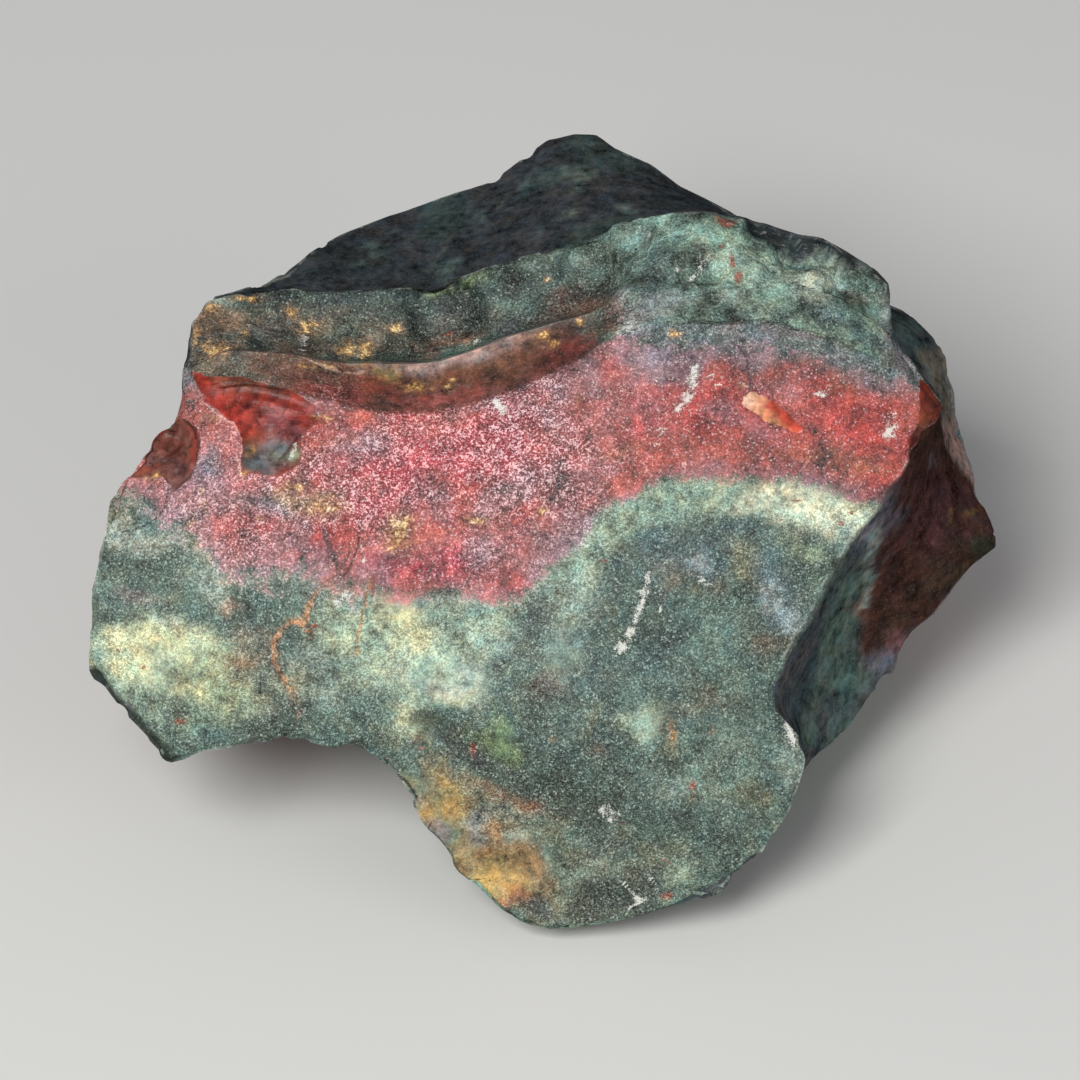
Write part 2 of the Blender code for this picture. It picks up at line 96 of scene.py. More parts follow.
frontEdge = [
    (-37.7, -9.6, 2.4), (-37.2, -5, 2.2), (-36.8, -1.3, 2), (-35.7, 2.9, 1.9), (-34.6, 5.2, 1.9),
    (-32.5, 7.1, 2.1), (-30.7, 9.6, 2.4), (-29.9, 12.1, 3.2), (-29.8, 14.6, 4.5), (-29, 17.9, 6),
    (-27.8, 19.8, 7.5), (-25, 20.5, 8.5), (-21.3, 21, 9.5), (-16.7, 21.1, 10), (-11.7, 21.1, 10),
    (-9, 20.8, 10), (-7.1, 21.6, 9.5), (-3.3, 23.1, 9), (1.7, 24.5, 8.5), (5.8, 25.9, 8), (9.6, 27.2, 8),
    (13.3, 27.5, 8), (16, 27.2, 8), (18.8, 26.4, 8), (21.7, 25.4, 8), (23.5, 25.2, 8), (25.8, 23.8, 8),
    (27.7, 22.5, 8), (28.8, 21.3, 7.8), (29, 19.8, 7.2), (29.2, 18.2, 6.2), (30, 16.3, 5), (31.8, 14, 4),
    (33.6, 11.3, 3.2), (32.7, 9.6, 2.6), (31, 7.1, 1.9), (29.6, 5, 1.4), (28.2, 2.8, 1.2), (25.8, 0, 1.2),
    (23.8, -3.3, 1.2), (22.1, -6.7, 1.4), (20.4, -9.6, 1.6), (19.5, -12.1, 1.8), (19.5, -13.8, 1.9),
    (20.7, -15.2, 2), (21.8, -16.5, 2.1), (22.2, -18.3, 2.3), (21.7, -20, 2.5), (21.1, -22.1, 2.8),
    (19.6, -24.6, 3), (17.9, -26.7, 3.2), (15, -28.8, 3.5), (11.7, -30.4, 3.8), (8.3, -31.7, 4.1),
    (5, -32.5, 4.3), (0.8, -32.9, 4.5), (-1.7, -32.1, 4.5), (-3.3, -31, 4.3), (-5.4, -28.8, 4),
    (-7.1, -26.7, 3.7), (-8.8, -24.6, 3.4), (-10.2, -22.9, 3.1), (-10.2, -21.7, 2.9), (-11.7, -20, 2.8),
    (-14, -18, 2.6), (-16.7, -17.6, 2.4), (-20, -16.9, 2.5), (-22.5, -16.8, 2.6), (-25.4, -17.2, 2.8),
    (-28.3, -17.7, 3), (-29.2, -18.1, 3.1), (-30.7, -18.5, 3.2), (-32.5, -16.7, 3.2), (-34.6, -14.6, 3),
    (-36.3, -12.5, 2.8), (-37.5, -11, 2.5),
]
saddle = [  # behind the top edge, down the middle of the right-hand facet, round the flanks
    (-37, -9.6, 9), (-36.6, -5, 9), (-36.2, -1.2, 9), (-35, 2.5, 9), (-33.3, 5, 9), (-31.2, 7.1, 9.5),
    (-29.8, 9.6, 10), (-29.3, 12.1, 10.5), (-29, 14.8, 11.5), (-28.3, 17.5, 12.5), (-27.3, 19.2, 13.5),
    (-24.6, 19.6, 15), (-20.8, 20, 16.5), (-16.2, 20, 17.5), (-11.7, 20, 18), (-8.3, 20, 18),
    (-3.3, 22.1, 18), (1.7, 23.3, 18), (5.8, 24.8, 17.5), (9.6, 25.8, 17), (13.3, 26.2, 16.5),
    (16.2, 25.8, 16), (19.2, 25, 15.5), (21.7, 24, 15), (24.2, 23.2, 14.5), (26.2, 22.1, 14),
    (27.5, 20.7, 13.5), (27.9, 18.8, 13), (28.8, 16.2, 12.5), (30.4, 13.8, 12), (32.5, 11.2, 12),
    (32.9, 8.3, 12), (32.3, 5.4, 12.3), (31.6, 2.5, 12.6), (30.4, -0.4, 12.8), (28.2, -3.1, 12.6),
    (26.4, -5.8, 12.3), (24.8, -8.8, 12), (23, -12.1, 11), (22, -14.4, 9.5), (22, -17.1, 8.5),
    (21.2, -19.3, 8.5), (20.5, -21.2, 8.5), (19, -23.6, 8.5), (17.3, -25.6, 8.6), (14.6, -27.6, 8.6),
    (11.4, -29.2, 8.6), (8.3, -30.3, 8.6), (5, -31, 8.6), (1, -31.3, 8.6), (-1.3, -30.7, 8.6),
    (-2.9, -29.7, 8.6), (-4.8, -27.7, 8.6), (-6.4, -25.8, 8.6), (-7.9, -23.8, 8.6), (-9.2, -22.3, 8.5),
    (-9.6, -21, 8.5), (-11.2, -19.3, 8.5), (-13.8, -17.3, 8.5), (-16.6, -16.8, 8.5), (-19.8, -16.2, 9),
    (-22.3, -16.1, 9), (-25.2, -16.4, 9), (-27.9, -16.8, 9.5), (-30.2, -17.3, 10), (-31.9, -15.8, 10),
    (-33.9, -13.8, 10), (-35.5, -12, 9.5), (-36.7, -10.6, 9),
]
backRidge = [
    (-35.7, -9.2, 17), (-35.2, -5, 17), (-34.8, -1.7, 17), (-33.8, 1.7, 17), (-32.3, 4.2, 17),
    (-30.7, 6.2, 17), (-29.5, 8.8, 17), (-29, 11.2, 17), (-28.7, 14.2, 17), (-28.2, 16.7, 17),
    (-27.8, 18.8, 16.5), (-27.1, 20.3, 16.5), (-23.3, 21.3, 20), (-21.2, 21.9, 22), (-19.2, 23.8, 25),
    (-16.7, 25.3, 28), (-12.5, 27.2, 30), (-8.3, 28.5, 31), (-4.2, 29.9, 32), (-1.7, 31.6, 33),
    (0.7, 33.2, 34), (2.9, 33.6, 34), (4.6, 33.5, 34), (6.2, 32.5, 33), (9.2, 31.4, 32), (11.7, 29.6, 31),
    (13.8, 28.5, 30), (15.8, 27.2, 28), (19.2, 25, 27), (22.1, 23.2, 26), (25.4, 21.5, 25),
    (27.9, 20, 24.5), (30.4, 19, 24), (31.8, 18.5, 24), (33.1, 17.2, 23.5), (33.7, 15.8, 23),
    (34.1, 12.9, 22.5), (34.4, 9.6, 22), (35.4, 6.7, 21.5), (36.7, 3.8, 21), (37.7, 1.7, 20.5),
    (38.3, -0.4, 20), (36.2, -1.8, 20), (34.2, -3.9, 20), (32.5, -6, 19.5), (30, -9.2, 19),
    (28.3, -12.1, 18.5), (25.8, -15.4, 17.5), (24.6, -17.5, 17), (23.3, -18.8, 16.5), (21.9, -19.6, 15),
    (20.4, -20.7, 13.5), (18.8, -22.3, 13), (16.8, -24.1, 12.5), (14.2, -26, 12), (11.2, -27.6, 11.8),
    (8.3, -28.4, 11.8), (5, -28.8, 11.8), (1.2, -29, 11.8), (-1, -28.6, 11.8), (-2.5, -27.8, 11.8),
    (-4.3, -26, 12), (-5.8, -24.2, 12.3), (-7.2, -22.6, 12.6), (-8.3, -21.3, 13), (-9, -20.2, 13.5),
    (-10.8, -18.5, 13.5), (-13.5, -16.5, 14), (-16.5, -15.8, 14.5), (-19.6, -15.2, 15.5), (-22, -14.8, 16),
    (-24.6, -14.8, 17), (-27.1, -15, 17.5), (-29.2, -15.2, 18), (-30.8, -13.8, 18), (-32.5, -12.3, 18),
    (-34, -11, 17.5), (-35.2, -10.2, 17),
]
# Rings in the part's frame, clockwise from the left.
backWaist = [
    (-34.5, -3, 12), (-34.8, 6, 15), (-31.5, 14.5, 21), (-25.5, 23.5, 23), (-15, 29, 20), (-4.5, 33, 18.5),
    (6.5, 31.5, 23), (15.5, 30.5, 25), (24, 26.5, 20.5), (31.5, 21.5, 17), (36, 10, 14.5), (35, 2, 11.5),
    (29.5, -3.5, 8), (25.5, -8.5, 5), (20.5, -15, 3.6), (15.5, -20, 2.2), (9, -23.8, 1.2), (2, -24.8, 1),
    (-4, -23.5, 1.5), (-8.2, -17.5, 3.6), (-11.5, -14, 5.4), (-17, -11.5, 6.8), (-25, -9, 6.5),
    (-31, -7, 9),
]
footFlare = [
    (-29.5, 1.5, 3.5), (-29, 11, 4.5), (-22.5, 22, 3.5), (-11, 28.5, 5), (2, 29, 3.5), (14, 27.5, 5.5),
    (26.5, 27, 4), (32, 15.5, 4), (28.5, 4, 3), (24, -5, 2.2), (19.5, -13, 1.6), (14.5, -18.5, 1.2),
    (8.5, -22.5, 0.8), (2, -23.5, 0.7), (-4, -22, 0.8), (-7.5, -16, 1.5), (-10.5, -11.5, 2.4),
    (-16.5, -8, 3.6), (-24, -5.5, 3.6),
]
foot = [
    (-24, 2.5, 0), (-23, 10.5, 0), (-17, 19.5, 0), (-6, 24, 0), (5, 22.5, 0), (16, 25, 0), (24.5, 21, 0),
    (27.5, 12.5, 0), (23.5, 3, 0), (20, -6, 0), (15, -14, 0), (10, -19, 0), (3, -21, 0), (-3, -19.5, 0),
    (-6, -13, 0), (-8.5, -8, 0), (-15, -4, 0),
]

leanSin, leanCos = math.sin(stone["lean"]), math.cos(stone["lean"])
intoStone = np.array([0.0, leanCos, -leanSin])  # straight back from the broken face, in the part's frame
noiseTable = np.random.default_rng(stone["seed"]).uniform(-1, 1, (32, 32, 32))
# The zones between the rings, from the middle of the face out and over to the back ridge, then from
# the middle of the foot up to it. The rings of the back are numbered from 200.
faceZone, bandZone, crestZone, stepZone, saddleZone, ridgeZone = range(6)
soleZone, footZone, waistZone, rearZone = range(6, 10)
backFirst = 200


def faceToPart(points):  # a face-frame reading goes out along its line of sight, then turns and moves
    spread = 1 + points[..., 2] / stone["readFrom"]
    across, up, back = points[..., 0] * spread, points[..., 1] * spread, points[..., 2]
    turned = np.stack([across, up * leanSin + back * leanCos, up * leanCos - back * leanSin], -1)
    return turned + stone["faceMiddle"]


def partToFace(points):  # the way back
    x, y, z = np.moveaxis(points - stone["faceMiddle"], -1, 0)
    back = y * leanCos - z * leanSin
    spread = 1 + back / stone["readFrom"]
    return np.stack([x / spread, (y * leanSin + z * leanCos) / spread, back], -1)


def capGrid(rings):
    # A square grid wrapped to a disc: the ring number is the larger of the two distances from the
    # middle, and the bearing runs evenly along each side of that square.
    side = np.arange(-rings, rings + 1)
    a, b = np.meshgrid(side, side, indexing="ij")
    eighth = math.pi / 4
    with np.errstate(divide="ignore", invalid="ignore"):
        bearing = np.where(abs(a) >= abs(b), eighth * b / a + math.pi * (a < 0),
                           2 * eighth - eighth * a / b + math.pi * (b < 0))
    return np.maximum(abs(a), abs(b)), np.nan_to_num(bearing)


def ringPoints(corners, centre, bearing):
    # where the ray at each bearing crosses the straight runs between corners
    corners = np.array(corners, float)
    share = np.linspace(0, 1, 30, endpoint=False)[None, :, None]
    runs = (corners[:-1, None] + share * (corners[1:, None] - corners[:-1, None])).reshape(-1, 3)
    at = np.arctan2(runs[:, 1] - centre[1], runs[:, 0] - centre[0])
    return np.stack([np.interp(bearing, at, runs[:, i], period=2 * math.pi) for i in range(3)], -1)


def closed(ring):
    return [*ring, ring[0]]


def stepUp(low, high, value):  # 0 at low, 1 at high, smooth between
    share = np.clip((value - low) / (high - low), 0, 1)
    return share * share * (3 - 2 * share)


def noise(points, size, seed):  # smooth value noise from -1 to 1 with cells of that size in mm
    turned = points @ np.array([[0.80, 0.36, -0.48], [-0.60, 0.48, -0.64], [0.0, 0.80, 0.60]])
    cell = turned / size + seed * 7.31
    corner = np.floor(cell).astype(int)
    part = cell - corner
    part = part * part * (3 - 2 * part)
    total = np.zeros(points.shape[:-1])
    for step in product((0, 1), repeat=3):
        weight = np.prod(np.where(step, part, 1 - part), -1)
        total += weight * noiseTable[tuple(np.moveaxis((corner + step) % 32, -1, 0))]
    return total


def roughNoise(points, size, octaves, seed):  # each octave half the size and half the height
    return sum(noise(points, size / 2**n, seed + n) / 2**n for n in range(octaves))


def bump(points, across, up, radius):
    return np.exp(-((points[..., 0] - across) ** 2 + (points[..., 1] - up) ** 2) / radius**2)


def faceRelief(points):  # how far back the broken face is set, in mm
    relief = -1.2 * bump(points, 7.0, -6.0, 11.0)
    relief += 0.8 * bump(points, -9.0, -9.0, 7.0)
    relief -= 0.6 * bump(points, -20.0, -4.0, 7.0)
    relief += 0.6 * bump(points, 14.0, 10.0, 8.0)
    return relief


def between(first, last, share, dip=0.0):
    points = first + share[..., None] * (last - first)
    points[..., 2] += dip * 4 * share * (1 - share)
    return points


def frontCap(ringNumber, bearing):
    # Straight runs between the rings, hollowed across the shelf and the step behind it. Over the
    # broken face the depth leaves the centre's only near the rim, and the relief fades there.
    centre = np.array(stone["faceCentre"])
    rings = (faceRim, frontEdge, saddle, backRidge)
    rim, edge, mid, ridge = (ringPoints(closed(ring), centre, bearing) for ring in rings)
    ends = [math.atan2(e[1] - centre[1], e[0] - centre[0]) for e in (shelfCrest[-1], shelfCrest[0])]
    onShelf = (bearing % (2 * math.pi) > ends[0]) & (bearing % (2 * math.pi) < ends[1])
    crest = np.where(onShelf[..., None], ringPoints(shelfCrest, centre, bearing), (rim + edge) / 2)
    shelf = np.clip((crest[..., 2] - rim[..., 2] - 1) / 3, 0, 1) * stepUp(11.0, 4.0, crest[..., 0])
    behind = crest + 0.06 * (edge - crest)
    behind[..., 2] += 2.0 * shelf
    stops = np.cumsum((0,) + stone["frontSteps"])
    zone = np.clip(np.searchsorted(stops, ringNumber, side="left") - 1, 0, 5)
    share = (ringNumber - stops[zone]) / np.array(stone["frontSteps"])[zone]
    face = between(centre, rim, share)
    face[..., 2] = centre[2] + (rim[..., 2] - centre[2]) * share**2.5
    face[..., 2] += faceRelief(face) * (1 - share**4)
    parts = [face, between(rim, crest, share, 0.9 * shelf), between(crest, behind, share),
             between(behind, edge, share, 1.3 * shelf), between(edge, mid, share), between(mid, ridge, share)]
    onTop = onShelf & (crest[..., 1] > 11.3)
    return faceToPart(np.choose(zone[..., None], parts)), zone, shelf, onTop.astype(float)


def backCap(ringNumber, bearing):
    # straight runs from the foot's centre out to its rim, the waist and the back ridge
    centre = np.array(stone["footCentre"])
    sole, flare, waist = (ringPoints(closed(r), centre, bearing) for r in (foot, footFlare, backWaist))
    ridge = faceToPart(ringPoints(closed(backRidge), stone["faceCentre"], bearing))
    stops = np.cumsum((0,) + stone["backSteps"])
    zone = np.clip(np.searchsorted(stops, ringNumber, side="left") - 1, 0, 3)
    share = (ringNumber - stops[zone]) / np.array(stone["backSteps"])[zone]
    parts = [between(centre, sole, share), between(sole, flare, share),
             between(flare, waist, share), between(waist, ridge, share)]
    return np.choose(zone[..., None], parts), soleZone + zone


def normalsOf(points, quads):  # each quad's crossed diagonals, added up at its corners
    corner = points[quads]
    flat = np.cross(corner[:, 2] - corner[:, 0], corner[:, 3] - corner[:, 1])
    total = [sum(np.bincount(quads[:, c], flat[:, i], len(points)) for c in range(4)) for i in range(3)]
    total = np.stack(total, -1)
    return total / np.maximum(np.linalg.norm(total, axis=1, keepdims=True), 1e-12)


print("stone: laying out its rings")
ringNumber, bearingAt = capGrid(sum(stone["frontSteps"]))
frontPoints, frontZone, shelfDepth, frontTop = frontCap(ringNumber, bearingAt)
backPoints, backZone = backCap(ringNumber, bearingAt)
side = ringNumber.shape[0]
inner = ringNumber < ringNumber.max()  # the two caps share their last ring
backIndex = np.arange(side * side).reshape(side, side)
backIndex[inner] = side * side + np.arange(inner.sum())


def bothCaps(front, back):
    return np.concatenate([front.reshape(side * side, -1), back[inner].reshape(inner.sum(), -1)]).squeeze()


def gridQuads(index, flip):
    found = np.stack([index[:-1, :-1], index[1:, :-1], index[1:, 1:], index[:-1, 1:]], -1).reshape(-1, 4)
    return found[:, ::-1] if flip else found


points = bothCaps(frontPoints, backPoints)
zoneOf = bothCaps(frontZone, backZone)
ringOf = bothCaps(ringNumber, ringNumber + backFirst)
bearingOf = bothCaps(bearingAt, bearingAt)
shelfOf = bothCaps(shelfDepth, 0 * shelfDepth)
onTop = bothCaps(frontTop, 0 * frontTop)
frontIndex = np.arange(side * side).reshape(side, side)
quads = np.concatenate([gridQuads(frontIndex, False), gridQuads(backIndex, True)])
rimRing, crestRing, behindRing, edgeRing, saddleRing, ridgeRing = np.cumsum(stone["frontSteps"])


def facing(bearing, spread):  # which points lie within that many degrees of a bearing from the face's middle
    return np.cos(bearingOf - math.radians(bearing)) > math.cos(math.radians(spread))


def ovalDistance(at, centre, radii):  # 0 in the middle of an oval, 1 on its rim
    return np.hypot((at[0] - centre[0]) / radii[0], (at[1] - centre[1]) / radii[1])


def patch(at, centre, radii, turn=0.0):  # a cloud: 1 in the middle, fading raggedly a little past its radii
    c, s = math.cos(math.radians(turn)), math.sin(math.radians(turn))
    du, dv = at[0] - centre[0], at[1] - centre[1]
    away = np.sqrt(((c * du + s * dv) / radii[0]) ** 2 + ((c * dv - s * du) / radii[1]) ** 2)
    return stepUp(1.5, 0.15, away + 0.5 * clouds)


def lineDistance(at, line):  # mm to the nearest place on a line through these corners
    best = np.full(at[0].shape, 1e3)
    for start, end in zip(line[:-1], line[1:]):
        du, dv = end[0] - start[0], end[1] - start[1]
        share = np.clip(((at[0] - start[0]) * du + (at[1] - start[1]) * dv) / (du * du + dv * dv), 0, 1)
        best = np.minimum(best, np.hypot(at[0] - start[0] - share * du, at[1] - start[1] - share * dv))
    return best


def insideBy(at, outline):  # mm inside a closed outline, negative outside
    odd = np.zeros(at[0].shape, bool)
    for start, end in zip(outline, [*outline[1:], outline[0]]):
        crosses = (start[1] > at[1]) != (end[1] > at[1])
        slope = (end[0] - start[0]) / (end[1] - start[1]) if end[1] != start[1] else 0.0
        odd ^= crosses & (at[0] < start[0] + (at[1] - start[1]) * slope)
    return lineDistance(at, closed(outline)) * np.where(odd, 1, -1)


def wayOut(bearing, climb):
    bearing, climb = math.radians(bearing), math.radians(climb)
    level = math.cos(climb)
    return np.array([level * math.cos(bearing), level * math.sin(bearing), math.sin(climb)])


def strikeFlake(points, allowed, middle, out, halfWidths, depth, turn, ragged=0.0, ripple=0.0):
    # Points inside a lens-shaped ellipsoid go to its far side along its axis. Ripples run over the
    # hollow in rings about the blow at its upper end, closer together near it. Returns 1 in the scar.
    across = np.cross((0, 0, 1), out)
    across /= np.linalg.norm(across)
    up = np.cross(out, across)
    c, s = math.cos(math.radians(turn)), math.sin(math.radians(turn))
    thickness = 3 * depth
    reach = math.sqrt(1 - ((thickness - depth) / thickness) ** 2)
    close = np.flatnonzero(allowed & (abs(points - middle).max(1) < 2 * max(halfWidths)))
    these = points[close]
    offset = these - (middle + out * (thickness - depth))
    p = offset @ (c * across + s * up) / (halfWidths[0] / reach)
    q = offset @ (c * up - s * across) / (halfWidths[1] / reach)
    r = offset @ out / thickness
    least = min(halfWidths)
    swell = 1 + ragged * (noise(these, 0.8 * least, 40) + 0.6 * noise(these, 0.3 * least, 43))
    flat = (p * p + q * q) * swell**2
    away = np.hypot(p / reach * halfWidths[0], (q / reach - 1) * halfWidths[1])
    waves = np.cos(14 * np.sqrt(away / least) + 1.5 * noise(these, 5.0, 46))
    floor = -np.sqrt(np.clip(1 - flat, 0, 1)) + ripple / thickness * waves * np.clip((0.5 - flat) * 4, 0, 1)
    inside = flat + r * r < 1
    points[close[inside]] += (np.minimum(floor - r, 0)[:, None] * thickness * out)[inside]
    scar = np.zeros(len(points))
    scar[close[inside]] = 1.0
    return scar


def carveOutline(points, at, allowed, outline, depth, slope, ripple=0.0, blow=(0, 0), waves=0.8, top=None):
    # A scar with a drawn outline: from its rim the floor falls to depth within a few slopes, as
    # depth * (1 - exp(-inside / slope)), and ripples run across it in rings about the blow. Towards
    # the line along its top, if it has one, the floor comes back up to the surface.
    inside = insideBy(at, outline)
    fall = depth * (1 - np.exp(-np.clip(inside, 0, None) / slope))
    if top:
        fall *= stepUp(0.3, 3.6, lineDistance(at, top))
    away = np.hypot(at[0] - blow[0], at[1] - blow[1]) + 0.25 * noise(points, 2.0, 48)
    fall += ripple * np.cos(2 * math.pi * away / waves) * stepUp(0.0, 0.8, inside)
    points += (allowed * fall * (inside > 0))[:, None] * intoStone
    return np.where(allowed > 0, inside, -9.0)


# Scars: middle, (bearing, climb) of the way out of the stone in degrees, half-widths across and up
# in mm, depth, turn in degrees. The first ones have their middle in the face frame.
faceScars = {
    "lobe": ((-4.9, -30, 3.8), (-90, 26), (20, 10.8), 1.6, -14),
    "band": ((-22.8, 12.4, 1.6), (-90, 52), (6.2, 2.4), 0.7, -13),
    "dish": ((20.4, 25, 7), (-80, 72), (5.2, 3.2), 1, -15),
    "corner": ((27.6, 21.4, 6.6), (-60, 60), (3.8, 2.8), 1.1, -40),
}
sideScars = {
    "backLeft": ((-15, 29.4, 18), (112, 6), (17, 13.5), 3.2, 10),
    "backRight": ((19.5, 28.6, 18), (60, 8), (15, 14.5), 3.2, -15),
    "backLow": ((1, 30.5, 6), (92, -22), (15, 9), 2.4, 8),
    "leftRear": ((-31.4, 13, 17), (156, 4), (14, 12.5), 3, -10),
    "left": ((-35, -2, 13), (186, -14), (11, 9.5), 2.4, 20),
    "rightRear": ((34.5, 15, 11), (14, -10), (11.5, 9.5), 2.6, 15),
    "wing": ((-24, -16.5, 9.5), (252, -58), (12, 6.5), 1.8, 5),
    "heelUnder": ((23, -14.5, 5), (318, -45), (9.5, 5.5), 1.6, 10),
}
# Scars drawn in the face frame: outline, depth, slope, ripple height, where the blow fell, mm from one
# ripple to the next, and a line along its top if it has one. The salmon chip stands proud.
drawnScars = {
    "tongue": ([(-28.8, 13.8), (-28.7, 11.8), (-26.3, 10.5), (-25.2, 9.4), (-24.9, 7.6), (-24.9, 5.4),
                (-21.7, 5.4), (-20.2, 6.4), (-19.9, 8.6), (-18.8, 9.6), (-18.4, 11), (-19.8, 12.1),
                (-22.6, 13.2), (-25.4, 14.2)], 1.25, 1.6, 0.03, (-29.5, 15), 1.5,
               [(-29.2, 14.6), (-22.6, 13.4), (-19.2, 12.2), (-16, 10.6)]),
    "shellHigh": ([(-30.2, 10.2), (-31.3, 8.9), (-33.4, 6.8), (-33.2, 6.1), (-31.7, 6.4), (-29.8, 7.3),
                   (-29, 9.2)], 0.7, 0.9, 0.04, (-32.6, 9.5), 0.9),
    "shellLow": ([(-33.6, 6.9), (-34.6, 5.2), (-31.7, 5.2), (-30.5, 4), (-29.2, 5.1), (-28.5, 7),
                  (-28.3, 8.8), (-29.2, 9.8), (-30.2, 10.1)], 0.8, 1.2, 0.05, (-32.6, 9.5), 0.9),
    "shellRound": ([(-35.2, 4.9), (-33.2, 5.3), (-31.6, 5), (-30.9, 4.1), (-30.9, 3), (-31.5, 1.9),
                    (-32.7, 1.1), (-34.2, 0.6), (-36.6, 0.8), (-36.6, 3)], 0.5, 0.8, 0.02, (-35, 5), 0.9),
    "salmonChip": ([(16.8, 11.1), (17, 12), (17.7, 12.8), (18.3, 12.2), (19.7, 11.4), (21, 10.3),
                    (22, 9.3), (21.5, 8.9), (20.3, 9.3), (19, 9.6), (18, 10.4)], -0.6, 0.3, 0, (0, 0), 1),
    "hackle": ([(13.3, 16.3), (15.3, 15.9), (16.8, 14.9), (17.4, 13.6), (17.2, 12.7), (16, 12.6),
                (14.6, 14), (12, 15.2)], 0.3, 0.9, 0, (0, 0), 1),
    "tipArc": ([(-37.9, -9.4), (-36.6, -9.8), (-36, -11.2), (-36.3, -12.6), (-37.8, -12)], 0.3, 0.5, 0,
               (0, 0), 1),
    "nick": ([(-33.6, -16.2), (-31.6, -15.8), (-29.6, -17.6), (-28.8, -18.6), (-31, -19.2)], 0.5, 0.7, 0,
             (0, 0), 1),
    "cragLow": ([(-11.2, -19.4), (-9.2, -19.8), (-8.6, -21.4), (-10.6, -23), (-11.6, -21.2)], 0.5, 0.8, 0,
                (0, 0), 1),
}
# Two clean bevels at the right corner: outline, and how steeply each falls away from its rim.
bevels = {
    "bevelHigh": ([(31.9, 13.7), (36, 15), (36, 10.8), (32.5, 9.6), (31.3, 9.3), (31.7, 11.4)], 0.5),
    "bevelLow": ([(31.3, 9.4), (32.5, 9.7), (34.4, 10.2), (31, 7), (30.7, 8.4)], 0.8),
}
stepScars = {"count": 46, "smallest": 1.1, "largest": 3.4, "seed": 23}  # over the step and the facet
crease = [(-9, -15.8), (-6, -17.4), (-2.5, -19.1), (1.9, -20.7), (4.8, -22.3)]
smallScars = {"count": 34, "smallest": 3.0, "largest": 9.0, "seed": 8}  # over the hidden sides
chips = {"count": 84, "smallest": 0.5, "largest": 1.7, "seed": 5}  # along the edges

print("stone: striking flakes")
scarOf = {}
for name, (middle, out, halfWidths, depth, turn) in {**faceScars, **sideScars}.items():
    start = faceToPart(np.array(middle)) if name in faceScars else np.array(middle)
    allowed = (zoneOf <= bandZone) | (shelfOf < 0.2) if name in faceScars else zoneOf >= saddleZone
    if name in ("dish", "corner"):
        allowed = (zoneOf >= bandZone) & (zoneOf <= ridgeZone)
    scarOf[name] = strikeFlake(points, allowed, start, wayOut(*out), halfWidths, depth, turn,
                               0.12 if name in faceScars else 0.2, 0.0 if name == "lobe" else 0.05)
random = np.random.default_rng(smallScars["seed"])
rightSide = facing(-20, 52) & (zoneOf < soleZone)
topSide = facing(92, 62) & (zoneOf < soleZone)
normals = normalsOf(points, quads)
rough = (zoneOf >= saddleZone) & (zoneOf != soleZone) & ~rightSide & ~topSide & (points[:, 2] > 2.5)
small = np.zeros(len(points))
for n in range(smallScars["count"]):
    pick = random.choice(np.flatnonzero(rough & (small < 1)))
    size = smallScars["smallest"] * (smallScars["largest"] / smallScars["smallest"]) ** random.random()
    wide = (size, size * random.uniform(0.55, 0.9))
    middle = points[pick] - 0.02 * size * normals[pick]
    struck = strikeFlake(points, zoneOf >= saddleZone, middle, normals[pick], wide, 0.13 * size,
                         random.uniform(0, 180), 0.2, 0.04)
    small = np.maximum(small, struck * (0.4 + 0.6 * (n % 3 > 0)))

u, v, depthIn = np.moveaxis(partToFace(points), -1, 0)
random = np.random.default_rng(stepScars["seed"])
stepHere = ((zoneOf == crestZone) | (zoneOf == stepZone)) & (onTop > 0.5) & (u > -24)
stepChips = np.zeros(len(points))
for n in range(stepScars["count"]):
    pick = random.choice(np.flatnonzero(stepHere & ((u > 3) | (n % 4 == 0))))
    size = stepScars["smallest"] * (stepScars["largest"] / stepScars["smallest"]) ** random.random()
    wide = (size, size * random.uniform(0.5, 0.9))
    middle = points[pick] - 0.03 * size * normals[pick]
    struck = strikeFlake(points, stepHere, middle, normals[pick], wide, 0.16 * size,
                         random.uniform(0, 180), 0.25, 0.03)
    stepChips = np.where(struck > 0, random.uniform(-1, 1), stepChips)


def letOut(points, share, rounds):  # each point moves by its share of the way to the middle of its neighbours
    drawn = quads[share[quads].max(1) > 0]
    for n in range(rounds):
        total, count = np.zeros(points.shape), np.zeros(len(points))
        for a, b in ((0, 1), (1, 2), (2, 3), (3, 0), (1, 0), (2, 1), (3, 2), (0, 3)):
            np.add.at(total, drawn[:, a], points[drawn[:, b]])
            np.add.at(count, drawn[:, a], 1)
        points += (share * (count > 0))[:, None] * (total / np.maximum(count, 1)[:, None] - points)


def nearly(u, v):  # places in the face frame, wavering a little so that no drawn line is straight
    return [flat + 0.22 * roughNoise(points, 2.4, 2, seed) for flat, seed in ((u, 60), (v, 64))]


